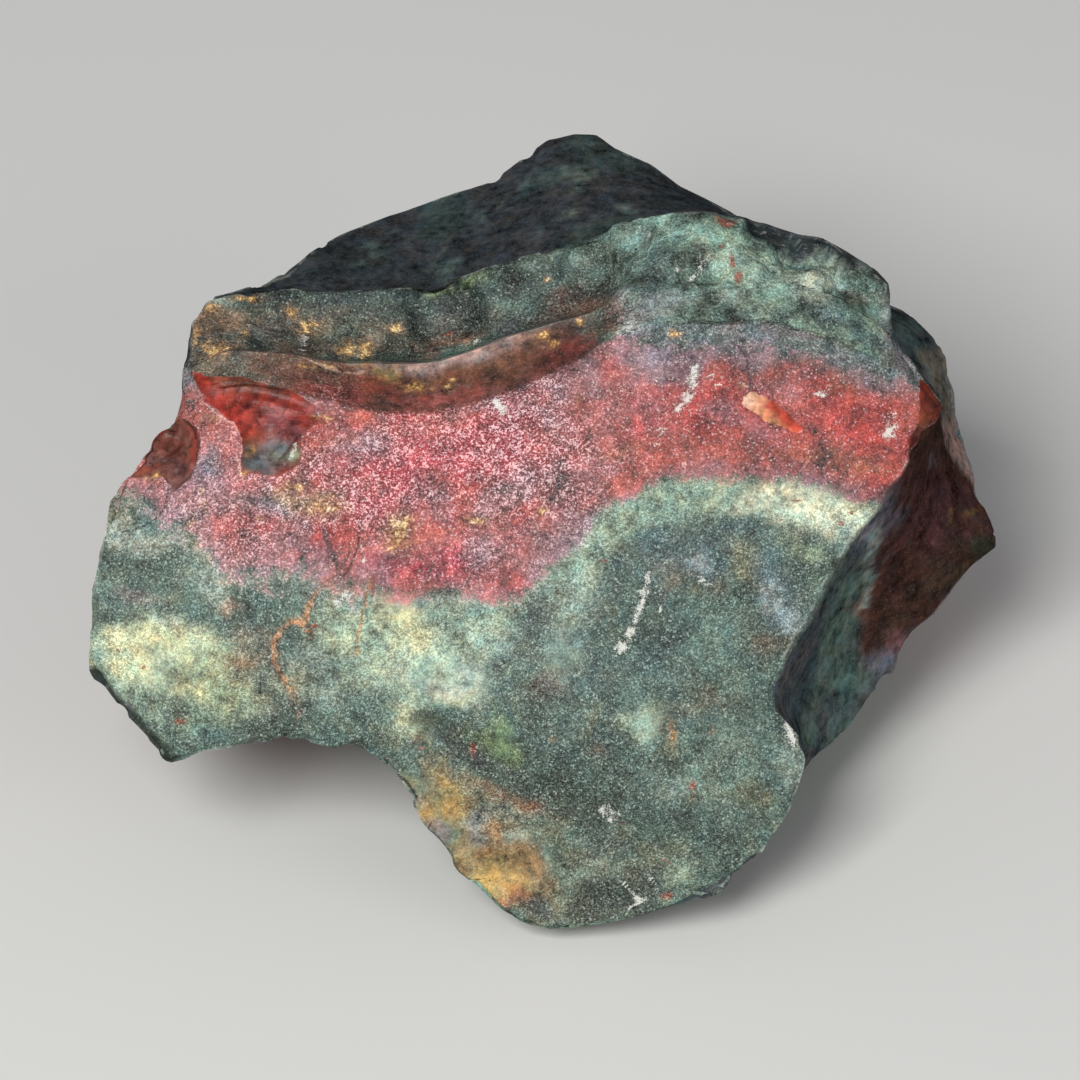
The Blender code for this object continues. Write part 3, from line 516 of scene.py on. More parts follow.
# the rings crowd together at the right corner, so the mesh there is let out
crowd = stepUp(3.4, 1.4, np.hypot(u - 33.4, v - 11.2)) * (zoneOf <= saddleZone)
letOut(points, 0.6 * crowd, 3)
points[:, 0] += 0.3 * crowd
u, v, depthIn = np.moveaxis(partToFace(points), -1, 0)
near = nearly(u, v)
for name, (outline, steep) in bevels.items():
    inside = insideBy(near, outline)
    reach = (zoneOf <= saddleZone) * stepUp(9.0, 3.0, depthIn)
    points += (steep * np.clip(inside, 0, 1.5) * reach)[:, None] * intoStone
    scarOf[name] = np.where(zoneOf <= stepZone, inside, -9.0)
onTop = onTop * stepUp(30.2, 28.8, u)  # beside the corner the face runs on to the edge
onFace = (zoneOf <= stepZone) & (onTop < 0.5) | (zoneOf == faceZone)
for name, scar in drawnScars.items():
    allowed = np.where(onFace | (zoneOf <= stepZone), 1.0, 0.0) * stepUp(9.0, 6.0, depthIn)
    scarOf[name] = carveOutline(points, near, allowed, *scar)
# At the left the face runs into the step without a lip, and the right rim is blunt: a line, how near
# to it the mesh is let out a little and in full, and how many times.
blunted = [
    ([(-29, 12.4), (-26.2, 13.6), (-22.9, 13.2), (-20, 12.3), (-17.4, 11.5)], 1.6, 0.6, 16),
    ([(9.2, 17.8), (13.3, 18.1), (19.6, 18), (22.5, 17.4), (25.8, 16.2), (28.7, 15), (30.4, 13.7)], 1.4,
     0.5, 12),
]
for line, slightly, full, rounds in blunted:
    letOut(points, 0.8 * stepUp(slightly, full, lineDistance((u, v), line)) * (zoneOf <= stepZone), rounds)
# middle and radii of the clouds that are clear and smooth
clearSpots = [
    ((-7.4, -11.9), (3.6, 2)), ((9.6, -15.4), (1.6, 1.4)), ((-3, -16.7), (1.7, 1.4)),
    ((2, -9.4), (1.4, 2)), ((-31.8, -10.6), (4.6, 2.4)), ((-11.6, -5.8), (2.4, 1.4)), ((20, 3.4), (6, 1)),
    ((-9, -15.6), (1.6, 1.2)),
]
# a lens of stone stands proud between two curved lines, a crack on its right and a painted shadow on its left
lensRim = [
    (-18.3, 2.6), (-16.4, 2.9), (-15.2, 1.6), (-15.1, -0.3), (-15.8, -1.7), (-16.8, -3.3), (-17.2, -1.2),
    (-17.9, 0.2),
]
lens = insideBy(near, lensRim) * np.where(onFace, 1.0, -1.0)
points -= (0.4 * stepUp(0.0, 1.2, lens))[:, None] * intoStone
# the lower lobe meets the face in a shallow fold
fold = stepUp(2.2, 0.0, lineDistance(near, crease)) * onFace
points += (0.75 * fold)[:, None] * intoStone

sleekNames = ("tongue", "shellHigh", "shellLow", "bevelHigh", "bevelLow", "salmonChip")
sleekIn = np.max([scarOf[name] for name in sleekNames], axis=0)  # mm inside the nearest glassy scar
sleek = stepUp(-0.12, 0.12, sleekIn)
darkRim = [
    (16.8, 25.6), (17.6, 27.8), (22, 26.8), (24, 26), (26.6, 24), (28.8, 22.4), (28.8, 20.6), (28, 21.8),
    (26.6, 22.8), (24.4, 23.5), (22.6, 23.5), (21.4, 22.7), (20.2, 23.6), (18.7, 24.4),
]
darkFlake = stepUp(-0.3, 0.3, insideBy(near, darkRim)) * ((zoneOf >= bandZone) & (zoneOf <= stepZone))
inHollow = stepUp(0.1, 0.5, shelfOf) * (zoneOf == bandZone) * stepUp(6.0, 2.5, u)
inStep = ((zoneOf == crestZone) | (zoneOf == stepZone)) * onTop
inStep = inStep + ((zoneOf == bandZone) * onTop - inHollow).clip(0, 1)
seenFlank = (((zoneOf == saddleZone) | (zoneOf == ridgeZone)) & (rightSide | topSide)).astype(float)
hidden = (zoneOf >= saddleZone) * (1 - seenFlank)
bigScars = np.max([scarOf[name] for name in sideScars], axis=0)
tipEdge = [(-37.4, -11.6), (-36.2, -13.2), (-34.5, -15), (-32.4, -17.2), (-30.8, -18.6)]
underTip = lineDistance(near, tipEdge)
underTip = stepUp(1.2, 0.7, underTip) * (zoneOf >= bandZone) * (zoneOf <= saddleZone)
onLobe = lineDistance(near, [(-9.6, -21.6), (-8.0, -24.4), (-4.6, -27.8), (-1.0, -27.4)])
onLobe = stepUp(3.6, 1.2, onLobe) * (zoneOf <= stepZone)
clear = [stepUp(1.5, 0.5, ovalDistance(near, *spot)) for spot in clearSpots]
clear = np.max(clear, axis=0) * (zoneOf == faceZone)
glassy = np.clip(0.8 * underTip + inHollow * (0.45 + 0.35 * stepUp(-17.0, -13.0, u)) + 0.15 * inStep
                 + 0.8 * darkFlake + 0.9 * seenFlank + 0.6 * onLobe + 0.45 * clear
                 + hidden * np.clip(0.25 + 0.25 * bigScars + 0.5 * small, 0, 0.8), 0, 1)
normals = normalsOf(points, quads)
lumpy = inStep * stepUp(3.0, 7.0, u)  # the facet at the upper right is all little hollows and bulges
height = 0.45 * lumpy * roughNoise(points, 3.2, 2, 97)
height += stone["broadRelief"] * roughNoise(points, 9.0, 2, 3) * (1 + hidden)
height += stone["middlingRelief"] * (1 - 0.75 * glassy) * roughNoise(points, 2.6, 2, 9) * (1 + hidden)
height += stone["fineRelief"] * (1 - 0.9 * glassy) * noise(points, 0.9, 15)
soleFade = stepUp(0.0, 2.5, points[:, 2])  # the foot stays flat
points += normals * (height * soleFade)[:, None]

print("stone: chipping its edges")
random = np.random.default_rng(chips["seed"])
for n in range(chips["count"]):
    pick = random.choice(np.flatnonzero(ringOf == (edgeRing, edgeRing, ridgeRing)[n % 3]))
    size = chips["smallest"] * (chips["largest"] / chips["smallest"]) ** random.random() ** 1.5
    turn = random.uniform(0, 180)
    if points[pick, 2] > 3:
        wide = (size, size * random.uniform(0.5, 0.9))
        middle = points[pick] - 0.1 * size * normals[pick]
        strikeFlake(points, (zoneOf != crestZone) & (zoneOf != bandZone), middle, normals[pick], wide,
                    0.28 * size, turn, 0.15)


pigments = {  # sRGB
    "bone": "#abb1a0", "mint": "#9fb29a", "cream": "#b9bf9a", "straw": "#c3c396", "sage": "#8c9f88",
    "lichen": "#a9b388", "moss": "#7b925e", "mist": "#7f8d82", "haze": "#6c7d73", "jade": "#51675c",
    "fern": "#46594f", "pond": "#3b5049", "pine": "#2f4039", "slate": "#3c4f52", "night": "#2a3336",
    "steel": "#8f9a9c", "olive": "#69674a", "peat": "#54493a", "khaki": "#6e6554", "umber": "#68412f",
    "earth": "#855f3c", "ochre": "#a5823f", "sand": "#b5914c", "tan": "#a58d5c", "soot": "#2d382d",
    "rust": "#a05c36", "blood": "#a0352f", "crimson": "#a52d3e", "brick": "#9a4a3f", "clay": "#95583b",
    "plum": "#68424a", "mauve": "#7d6a70", "rose": "#93696f", "ash": "#696468", "storm": "#5f5f68",
    "wine": "#7a2a20", "coral": "#c2563e", "salmon": "#d28a62", "shell": "#dfb89e", "smoke": "#5b6364",
    "chalk": "#cfd2b2", "husk": "#ab9088", "coal": "#3b3d40", "liver": "#5e3a2f", "cocoa": "#4a322c",
}
# The bands of colour. Each place is (across, up) in mm as the face is read from in front.
redLower = [
    (-37.9, 4.2), (-34.2, 3.8), (-31.3, 1.7), (-28.3, 0), (-26.3, -2.5), (-24.2, -2.9), (-20, -2.5),
    (-16.7, -4.2), (-11.7, -5), (-8.3, -4.6), (-5, -4.8), (-1.7, -5), (0.4, -2.5), (3.3, 0), (5.8, 3.3),
    (9.2, 4.6), (12.5, 5.4), (15.8, 5.2), (20, 5), (23.3, 4.2), (28.3, 2.9), (38.3, -1.7),
]
redUpper = [
    (-38, 10), (-30, 13.8), (-25, 13.8), (-20, 13), (-16, 13.5), (-10, 13.8), (-5, 15), (0, 16.8),
    (4.5, 17.8), (9.2, 16.6), (13.3, 16.6), (16.7, 16.9), (21.7, 16.2), (25.8, 14.9), (30, 13.8),
    (38, 11.7),
]
halo = [(0.4, -4.8), (5, 0.2), (8.3, 2.7), (12.5, 3.7), (18.3, 3.1), (23.3, 2.3), (26.7, 1)]
# Clouds: pigment, middle, radii, turn in degrees, strength.
greenClouds = [
    ("sage", (-10.5, -9), (7.5, 6), 20, 0.8), ("mint", (-8.2, -9.6), (5.6, 4.4), 25, 0.85),
    ("bone", (-7.6, -11.4), (5, 2.4), 6, 0.8), ("cream", (-7.6, -12.8), (3.2, 1), 10, 0.7),
    ("straw", (-12.2, -5.6), (2.6, 1.3), -10, 0.85), ("jade", (-6, -6.6), (1.6, 1), 20, 0.5),
    ("lichen", (-7.6, -9.4), (2, 0.6), -25, 0.5), ("haze", (-2.6, -8.2), (3.2, 1.4), 48, 0.5),
    ("fern", (-12.8, -12.6), (1.4, 1.8), 0, 0.7), ("sage", (-10.5, -14.5), (4.6, 2.8), -30, 0.75),
    ("cream", (-17.6, -8.4), (2.2, 2.6), 10, 0.6), ("fern", (-21, -8.6), (1.8, 1.6), 20, 0.7),
    ("mist", (-20.5, -12.2), (4.5, 2.6), 10, 0.6), ("khaki", (-23.6, -14), (3.6, 1.8), 0, 0.5),
    ("cream", (-32, -10.6), (5.4, 3), 12, 0.9), ("straw", (-33.4, -10), (2.6, 1.4), 10, 0.7),
    ("bone", (-32.2, -8.6), (1.2, 0.8), 0, 0.6), ("lichen", (-27.5, -12.6), (5, 2.4), -8, 0.75),
    ("lichen", (-28.4, -10.4), (2.4, 2), 0, 0.5), ("bone", (-34, 1.6), (4.2, 1.6), -25, 1),
    ("bone", (-28.2, -3.4), (1.8, 2.8), 25, 0.7), ("bone", (-26.2, -5.6), (1.6, 1), 30, 0.6),
    ("pine", (-31.6, -1.8), (3.6, 2), 5, 0.9), ("pine", (-35, -0.2), (1.6, 1.4), 20, 0.8),
    ("fern", (-30, -4.2), (3, 2.2), -30, 0.8), ("plum", (-34.4, -5.4), (2, 1.2), 10, 0.6),
    ("fern", (-31.4, -6.6), (3, 1), -5, 0.6), ("fern", (-36, -7), (1.5, 1.6), 0, 0.7),
    ("fern", (-23.5, -6), (3.6, 1.5), 18, 0.75), ("khaki", (-25, -8.2), (3.4, 1.3), -8, 0.75),
    ("earth", (-25.6, -9.6), (2, 0.6), 0, 0.6), ("khaki", (-23.6, -10.8), (2.8, 1), 0, 0.5),
    ("rust", (-26.2, -5), (1.6, 0.7), 35, 0.6), ("mist", (-18.6, -4.4), (2.4, 1), 15, 0.6),
    ("fern", (-14, -13.4), (2.4, 1.4), 10, 0.5), ("pine", (-0.6, -6.6), (1.3, 4.2), -12, 0.6),
    ("jade", (-2, -13), (3, 2.2), 0, 0.6), ("coal", (-0.9, -6), (1.1, 3.2), -12, 0.7),
    ("coal", (0, -12.4), (2.6, 1.4), 0, 0.65), ("haze", (1.2, -8.8), (2, 3), -20, 0.7),
    ("sage", (0.8, -9.8), (1.2, 1.6), -20, 0.6), ("haze", (4.6, -10.8), (2.6, 1.6), 30, 0.5),
    ("umber", (-0.4, -12.2), (1.6, 0.9), 10, 0.4), ("haze", (4, -14.6), (2.4, 1), 30, 0.4),
    ("umber", (6.1, -18.3), (1.2, 0.8), -10, 0.55), ("pine", (9.5, -21), (4, 1.6), -15, 0.5),
    ("mist", (2.6, -3.6), (2.8, 2.4), 30, 0.55), ("slate", (11.5, -1.6), (6.5, 3.2), 8, 0.85),
    ("slate", (14.5, -2.6), (3.2, 1.8), -10, 0.8), ("slate", (18.5, -1), (3.6, 2.4), -10, 0.6),
    ("khaki", (9.6, 1.4), (1.6, 0.9), 20, 0.5), ("khaki", (11.2, -3.6), (2.4, 0.9), 5, 0.7),
    ("olive", (13.2, -5.2), (1.2, 0.7), 5, 0.6), ("khaki", (16.2, -4.8), (1.2, 0.9), 5, 0.6),
    ("olive", (18.4, -3.2), (1.6, 2), 20, 0.8), ("peat", (19.5, -7.4), (1.5, 2), 0, 0.9),
    ("steel", (21, -4.4), (1.1, 2.4), 15, 0.7), ("steel", (13.4, -3.2), (1.4, 0.6), -20, 0.6),
    ("mist", (24, 1), (2.6, 1.2), -25, 0.6), ("haze", (25, 0), (1.6, 0.8), 20, 0.6),
    ("lichen", (21.8, -0.4), (1.6, 1), -30, 0.5), ("slate", (9, -9.5), (7, 3), 0, 0.6),
    ("pond", (14.5, -13), (5, 3), 0, 0.6), ("peat", (14.9, -13.8), (2, 1.4), 30, 0.7),
    ("khaki", (12, -14.8), (1.6, 1.2), 0, 0.5), ("mint", (9.6, -15.4), (1.7, 1.5), 0, 0.9),
    ("pine", (2, -18), (3.4, 1.6), 0, 0.7), ("soot", (-5.2, -16.8), (3, 2), 0, 0.7),
    ("moss", (-3.4, -16.5), (1.6, 1.5), 0, 0.7), ("umber", (-5.9, -17), (0.8, 1.6), -35, 0.9),
    ("cream", (-10, -16.6), (2.2, 1.8), 0, 0.6), ("umber", (-10.4, -18), (1.2, 0.7), 0, 0.6),
    ("khaki", (5.8, -17.8), (1.6, 0.9), -20, 0.6), ("pond", (12, -23.4), (7, 3.6), 10, 0.85),
    ("pine", (16, -22.4), (3, 2.4), 20, 0.7), ("olive", (17.4, -20.6), (3.2, 1.3), -20, 0.8),
    ("earth", (12.6, -20.4), (0.9, 0.7), 0, 0.8), ("haze", (10.6, -19.6), (2.4, 1.2), 0, 0.6),
    ("peat", (6, -28.6), (5.4, 3), 0, 0.9), ("khaki", (5.8, -25.6), (2.6, 1.8), 0, 0.6),
    ("soot", (5.6, -28.8), (5, 2.4), 0, 0.95), ("pine", (13, -24.4), (5.5, 3), 10, 0.5),
    ("pond", (18.3, -13.3), (2.2, 3), 0, 0.7), ("olive", (10.4, -25.6), (2, 1.6), 0, 0.6),
    ("khaki", (1.6, -22.4), (2.2, 1.6), -20, 0.6), ("soot", (-1.6, -21.6), (4.6, 1.8), -12, 0.85),
    ("umber", (-3.4, -21.4), (4, 1.4), -10, 0.9), ("rust", (-1.7, -22.6), (1.6, 1.1), -20, 0.4),
    ("earth", (-4.2, -20.4), (2.4, 0.5), -8, 0.6), ("earth", (-2, -21.8), (1, 1.5), 10, 0.8),
    ("haze", (-6.6, -21.6), (1.8, 0.9), 0, 0.6), ("tan", (-5.2, -25), (8.4, 4), -48, 0.75),
    ("earth", (-4, -25.4), (5, 2.2), -48, 0.7), ("sand", (-8.7, -22.4), (1.9, 3.2), 22, 0.95),
    ("sand", (-4, -28.4), (2.4, 2), -40, 0.7), ("fern", (-5.2, -23.2), (1.5, 1.3), 0, 0.8),
    ("mist", (-2.3, -25.2), (1.2, 0.8), 0, 0.8), ("olive", (2.2, -24.6), (3.2, 1.8), -20, 0.8),
    ("mauve", (-8.4, -25.6), (0.6, 2.4), 38, 0.7), ("mist", (-3.4, -23.2), (1.7, 1), 0, 0.7),
    ("steel", (-6.2, -24.6), (1.2, 0.7), 0, 0.6), ("earth", (-0.3, -27), (2.3, 1.8), 20, 0.8),
    ("tan", (-1.2, -27.4), (1.6, 1), 20, 0.6), ("rust", (-3, -30.2), (1.4, 0.7), 0, 0.7),
    ("night", (-0.6, -30.9), (1.9, 1), -20, 0.9), ("mist", (20.6, -16.6), (0.9, 2.2), -30, 0.8),
    ("mist", (21.2, -19.6), (0.9, 1.6), 20, 0.7), ("mint", (-36.8, -11.2), (1.1, 1.4), 0, 0.8),
]
redClouds = [
    ("rose", (-26, 3.5), (6, 7), 0, 0.6), ("rose", (-10, -1.5), (9, 3), 0, 0.45),
    ("rose", (8, 11), (6, 3.5), 10, 0.4), ("crimson", (-8, 6), (9.5, 4.2), 5, 0.8),
    ("crimson", (-9.5, -2), (4, 2), 5, 0.8), ("blood", (13.5, 10.4), (6.5, 3.2), -5, 0.85),
    ("blood", (26, 9.6), (5.6, 3.6), -10, 0.9), ("brick", (14.5, 6.8), (5, 1.3), -2, 0.8),
    ("clay", (24, 6), (4.6, 1), -8, 0.7), ("rose", (16, 9.2), (3.2, 1.2), -25, 0.4),
    ("blood", (-24.5, -0.2), (3.2, 2), 10, 0.8), ("rose", (-28.2, 6.4), (2.2, 3.4), 20, 0.7),
    ("mauve", (8.6, 15.4), (5.4, 1.5), 5, 0.95), ("mauve", (3.4, 14.6), (2.6, 1.2), 32, 0.7),
    ("mauve", (17.4, 15.8), (4.4, 1.1), -3, 0.85), ("smoke", (24.6, 15.2), (4.2, 1.3), -22, 0.9),
    ("ash", (28.6, 13.6), (2.6, 1.4), -35, 0.8), ("plum", (13.2, 15.4), (1.6, 1), -40, 0.6),
    ("plum", (16.6, 13.2), (1, 1.4), 30, 0.7), ("rose", (20.6, 12.2), (2.2, 1.3), -20, 0.6),
    ("clay", (25.6, 13), (1.4, 0.9), -20, 0.7), ("rust", (6.4, 6.8), (1.6, 0.8), 0, 0.5),
    ("mauve", (-16.2, 7.8), (2.8, 1.5), -10, 0.8), ("storm", (-27.2, 7), (1.2, 1.6), 15, 0.9),
    ("storm", (-22.4, 2.4), (3.2, 0.9), -8, 0.9), ("ash", (-25, 2.2), (1.5, 1), 0, 0.8),
    ("storm", (-9.2, 3), (1.3, 1), 0, 0.85), ("mauve", (-6, -0.4), (2, 1.5), 0, 0.6),
    ("mauve", (0.8, 8.8), (2.2, 1), -20, 0.4), ("mauve", (1.6, 0.2), (3.6, 1.8), 30, 0.6),
    ("mauve", (-3.6, 2.8), (4, 1.2), 20, 0.5), ("plum", (-13.6, -2.6), (1.4, 1.6), 0, 0.5),
    ("rose", (-18.8, -2.6), (2.6, 1.2), 0, 0.7), ("rose", (-21.4, -0.6), (2, 1), 10, 0.6),
    ("mauve", (-31.8, 2.6), (2.8, 1.3), -20, 0.8), ("rose", (-3, 11.6), (3.2, 0.8), 15, 0.6),
    ("plum", (-17.8, -0.8), (0.6, 2), 18, 0.85), ("blood", (-16.6, 1), (1.3, 1.9), 5, 0.9),
    ("clay", (-28.4, -1.2), (1.6, 1), 0, 0.7), ("rust", (-26.6, -3.6), (1.3, 0.9), 0, 0.8),
    ("coral", (-18.4, 8.4), (1.8, 0.7), 10, 0.8), ("tan", (-20.6, 3.8), (2.2, 0.8), 15, 0.7),
    ("rose", (4, 4.5), (2.5, 1.5), 30, 0.5), ("mauve", (10.8, 12.2), (0.9, 0.7), 20, 0.5),
    ("blood", (30, 4.4), (1.6, 1.2), 30, 0.7),
]
stepClouds = [  # on the step behind the crest and the facet at its right
    ("peat", (-18, 17.6), (6, 2), 0, 0.95), ("peat", (-9, 17.4), (5, 1.8), 5, 0.8),
    ("night", (-8.4, 17.9), (2.6, 1.4), 5, 0.9), ("cocoa", (2, 17.6), (4.5, 1.2), 24, 0.85),
    ("liver", (-24, 14.6), (5, 1.4), -6, 0.8), ("ash", (-26, 16.6), (2.6, 2), 0, 0.6),
    ("umber", (-8.4, 15.6), (2.8, 0.8), 10, 0.8), ("night", (-14, 20.2), (7, 0.8), 0, 0.9),
    ("pine", (-10, 18.4), (2.4, 1.3), 0, 0.85), ("fern", (-1.4, 20.2), (4.4, 1.2), 15, 0.8),
    ("moss", (-7.2, 21), (1.5, 0.6), 15, 0.9), ("night", (-2, 17.8), (2, 1.2), 20, 0.7),
    ("earth", (-26.2, 17.6), (1.8, 1.4), 0, 0.7), ("fern", (-25, 15.8), (1.8, 1.2), 0, 0.8),
    ("ash", (-22.6, 17.2), (1.5, 1.3), 0, 0.7), ("umber", (-20, 14.8), (3, 0.8), -10, 0.8),
    ("mist", (-26.2, 19.2), (1.8, 0.7), 20, 0.7), ("slate", (8.4, 24.2), (3.4, 2.6), 20, 0.45),
    ("slate", (9, 21.4), (4, 2.4), 15, 0.5), ("jade", (13.2, 22.6), (2.6, 2.2), 0, 0.75),
    ("mist", (14.4, 24.2), (1.1, 1.2), 40, 0.6), ("haze", (18, 22.8), (2.2, 1.8), -20, 0.6),
    ("smoke", (9.4, 19.6), (5, 1.2), 5, 0.8), ("mist", (22.6, 22.2), (1.6, 1.8), 20, 0.75),
    ("fern", (25.2, 22), (1.5, 1.2), -20, 0.7), ("mist", (22.6, 20.4), (3, 0.9), -4, 0.8),
    ("khaki", (24.4, 19.6), (1.4, 0.8), 0, 0.7), ("cocoa", (3.4, 18.7), (3.2, 1.3), 28, 0.8),
    ("pine", (21.6, 19.2), (3.4, 0.5), 4, 0.7), ("slate", (25, 18), (3.6, 1), -25, 0.75),
    ("mist", (16.8, 18.9), (2, 1), 5, 0.9), ("night", (17.4, 17.7), (2.2, 0.4), 10, 0.7),
    ("umber", (4.4, 18.4), (1.8, 1.4), 30, 0.75), ("coal", (-4, 17), (2, 1.2), 18, 0.7),
    ("pond", (26.6, 20.4), (2.6, 2.4), 0, 0.6), ("haze", (1, 22.4), (2.6, 1), 15, 0.6),
    # the cocoa cloud over the tongue's top at the left is partly painted shadow
    ("storm", (7.4, 19.8), (3, 1), 10, 0.35), ("cocoa", (-25, 14.6), (4.4, 1), -8, 0.85),
]
hollowClouds = [  # in the hollow under the crest
    ("wine", (1.8, 14.6), (5, 1), 24, 0.55), ("wine", (-17.6, 12.4), (5.6, 1.3), -5, 0.8),
    ("cocoa", (-3.4, 11.8), (3.2, 0.6), 8, 0.8), ("cocoa", (1.2, 16.8), (3.6, 1.2), 25, 0.85),
    ("brick", (-7.4, 11.6), (5.4, 0.9), 4, 0.7), ("ash", (-14.6, 14.6), (1.4, 0.5), 0, 0.8),
    ("ochre", (-13, 13.2), (1.8, 0.4), 25, 0.6), ("cocoa", (4.8, 17.8), (2.6, 1.3), 20, 0.85),
    # over the tongue's top: partly painted shadow
    ("cocoa", (-25, 14.6), (4.4, 1), -8, 0.85),
]
sleekClouds = [  # in the glassy scars at the left, and on the chips
    ("brick", (-23.4, 10.8), (1.8, 1.6), 0, 0.5), ("umber", (-25, 13.8), (5, 1.1), -6, 0.9),
    ("liver", (-21, 12.8), (3.6, 1), -10, 0.9), ("blood", (-26, 11.8), (3.2, 2), -10, 0.6),
    ("rose", (-20.8, 9.4), (0.7, 2.4), 35, 0.55), ("rose", (-19, 10.8), (0.5, 1.6), 40, 0.4),
    ("smoke", (-22.8, 6.9), (2.7, 1.5), 15, 0.95), ("umber", (-23.6, 8.6), (1.6, 0.6), 20, 0.6),
    ("pine", (-23.4, 7.6), (1.1, 0.8), 0, 0.6), ("lichen", (-20.6, 7.6), (0.6, 0.6), 0, 0.6),
    ("umber", (-21.4, 5.8), (2, 0.5), 10, 0.7), ("cocoa", (-30.6, 9), (1.5, 1.2), 30, 0.85),
    ("rose", (-30.4, 6.2), (2.4, 0.6), 25, 0.8), ("mauve", (-32.2, 7.6), (1, 0.5), 35, 0.6),
    ("mauve", (-30, 5.2), (1, 0.9), 30, 0.6),
]
flankClouds = [
    ("fern", (25, -7), (2.6, 7), -10, 0.6), ("pond", (25.4, -11.8), (1.8, 3.4), -15, 0.6),
    ("night", (22.2, -9), (1, 6), -14, 0.85), ("pond", (24.6, -16), (2.2, 1.2), -20, 0.6),
]
flankReds = [
    ("plum", (33, 3.2), (4.4, 2.4), -25, 0.3), ("plum", (31.2, 1), (3, 2), -25, 0.2),
    ("earth", (35.2, 2.9), (0.3, 0.6), 0, 0.9), ("soot", (36.6, -0.6), (2.2, 2.4), 0, 0.9),
    ("peat", (33.6, -3.6), (4.4, 1.6), 32, 0.4), ("wine", (27.9, -6), (0.8, 2.4), -10, 0.3),
    ("rose", (30.1, -8.5), (0.4, 1.4), -20, 0.35), ("storm", (28.4, -10.6), (1.2, 1), 35, 0.7),
    ("ash", (32.8, 5.6), (0.4, 0.7), -10, 0.6), ("storm", (27.6, 0.6), (1.4, 2.2), -20, 0.8),
]
rearClouds = [("haze", middle, radii, turn, 0.5) for middle, radii, turn in (
    ((-5, 26.8), (1.4, 0.6), 20), ((0, 25.8), (1.2, 0.5), 0), ((-7.5, 22.7), (1.6, 0.5), 15),
    ((2.9, 30.7), (0.9, 0.4), 30), ((2.5, 27.5), (0.8, 0.4), 0), ((-2.1, 27.9), (0.7, 0.4), 0),
    ((-13, 23.4), (1.6, 0.4), 20), ((6.5, 28), (1, 0.4), -20))]


def hexColour(code):  # sRGB hex to linear RGB
    channels = [int(code[i:i + 2], 16) / 255 for i in (1, 3, 5)]
    return np.array([c / 12.92 if c <= 0.04045 else ((c + 0.055) / 1.055) ** 2.4 for c in channels])


def ground(pigment):
    return np.tile(hexColour(pigments[pigment]), (len(points), 1))


def paint(base, pigment, mask):
    return base + np.clip(mask, 0, 1)[:, None] * (hexColour(pigments[pigment]) - base)


def paintClouds(base, clouds, within):
    for pigment, middle, radii, turn, strength in clouds:
        base = paint(base, pigment, strength * within * patch(at, middle, radii, turn))
    return base


print("stone: painting its bands")
u, v, depthIn = np.moveaxis(partToFace(points), -1, 0)
clouds = roughNoise(points, 2.6, 3, 51)
at = [flat + 1.9 * roughNoise(points, 5.0, 3, seed) for flat, seed in ((u, 20), (v, 24))]
near = nearly(u, v)
mottle, blots = roughNoise(points, 8.0, 3, 31), roughNoise(points, 2.2, 2, 37)
# The red band is a slab that sinks going back into the stone, and wanders there.
sinkLow = 14 * np.tanh(np.maximum(depthIn - 2, 0) / 16) - 0.35 * np.maximum(depthIn - 22, 0)
sinkHigh = 0.3 * np.minimum(depthIn, 22) - 0.2 * np.maximum(depthIn - 22, 0)
wander = stepUp(8, 24, depthIn) * (5.0 * roughNoise(points, 15.0, 3, 70) - 2.5)
redIn = np.minimum(near[1] + sinkLow - np.interp(near[0], *zip(*redLower)),
                   np.interp(near[0], *zip(*redUpper)) - sinkHigh - near[1]) + wander

green = paint(ground("jade"), "pine", 0.8 * stepUp(0.0, 0.8, mottle))
green = paint(green, "sage", 0.7 * stepUp(0.1, 0.9, -mottle))
green = paint(green, "olive", 0.6 * stepUp(0.3, 0.9, blots))
green = paint(green, "pond", 0.6 * stepUp(0.2, 0.9, -blots))
green = paint(green, "sand", 0.6 * hidden * stepUp(0.45, 0.8, roughNoise(points, 6.0, 3, 80)))
green = paint(green, "sage", 0.95 * onFace * stepUp(2.6, 0.6, lineDistance(at, halo) + 0.4 * clouds))
green = paint(green, "chalk", 0.95 * onFace * stepUp(2.4, 0.5, lineDistance(at, halo[4:]) + 0.4 * clouds))
green = paintClouds(green, greenClouds, onFace)
# painted shade: dark along the fold where the lower lobe meets the face
green = paint(green, "soot", 0.9 * onFace * stepUp(2.4, 0.4, lineDistance(at, crease) + 0.3 * clouds))
underRed = np.interp(near[0], *zip(*redLower)) - near[1]
green = paint(green, "bone", 0.5 * stepUp(1.2, 0.0, abs(underRed - 0.3) + 0.3 * clouds) * stepUp(9.0, 5.0, u))
overRed = (near[1] - np.interp(near[0], *zip(*redUpper)) > -1.0) * onFace
green = paint(paint(green, "smoke", 0.9 * overRed), "mauve", 0.5 * overRed * stepUp(0.0, 0.6, blots))
redIn = redIn * (1 - 0.55 * stepUp(-8.0, -16.0, u) * onFace)  # its edge is softer at the left
lowerRight = stepUp(-2.0, 2.0, u) * stepUp(-10.0, -14.0, v)
green = green * (0.9 - 0.11 * lowerRight - 0.2 * patch(at, (5.6, -28.8), (5.0, 2.4)))[:, None]
red = paint(ground("brick"), "plum", 0.7 * stepUp(0.1, 0.9, mottle))
red = paint(red, "blood", 0.7 * stepUp(0.1, 0.8, blots))
red = paint(red, "umber", 0.7 * hidden * stepUp(0.0, 0.8, roughNoise(points, 7.0, 2, 84)))
red = paintClouds(red, redClouds, onFace)
red = paint(red, "mauve", 0.55 * onFace * stepUp(1.8, 0.1, redIn + 0.5 * clouds))
red = red * (1 - 0.18 * stepUp(8.0, 14.0, u))[:, None]

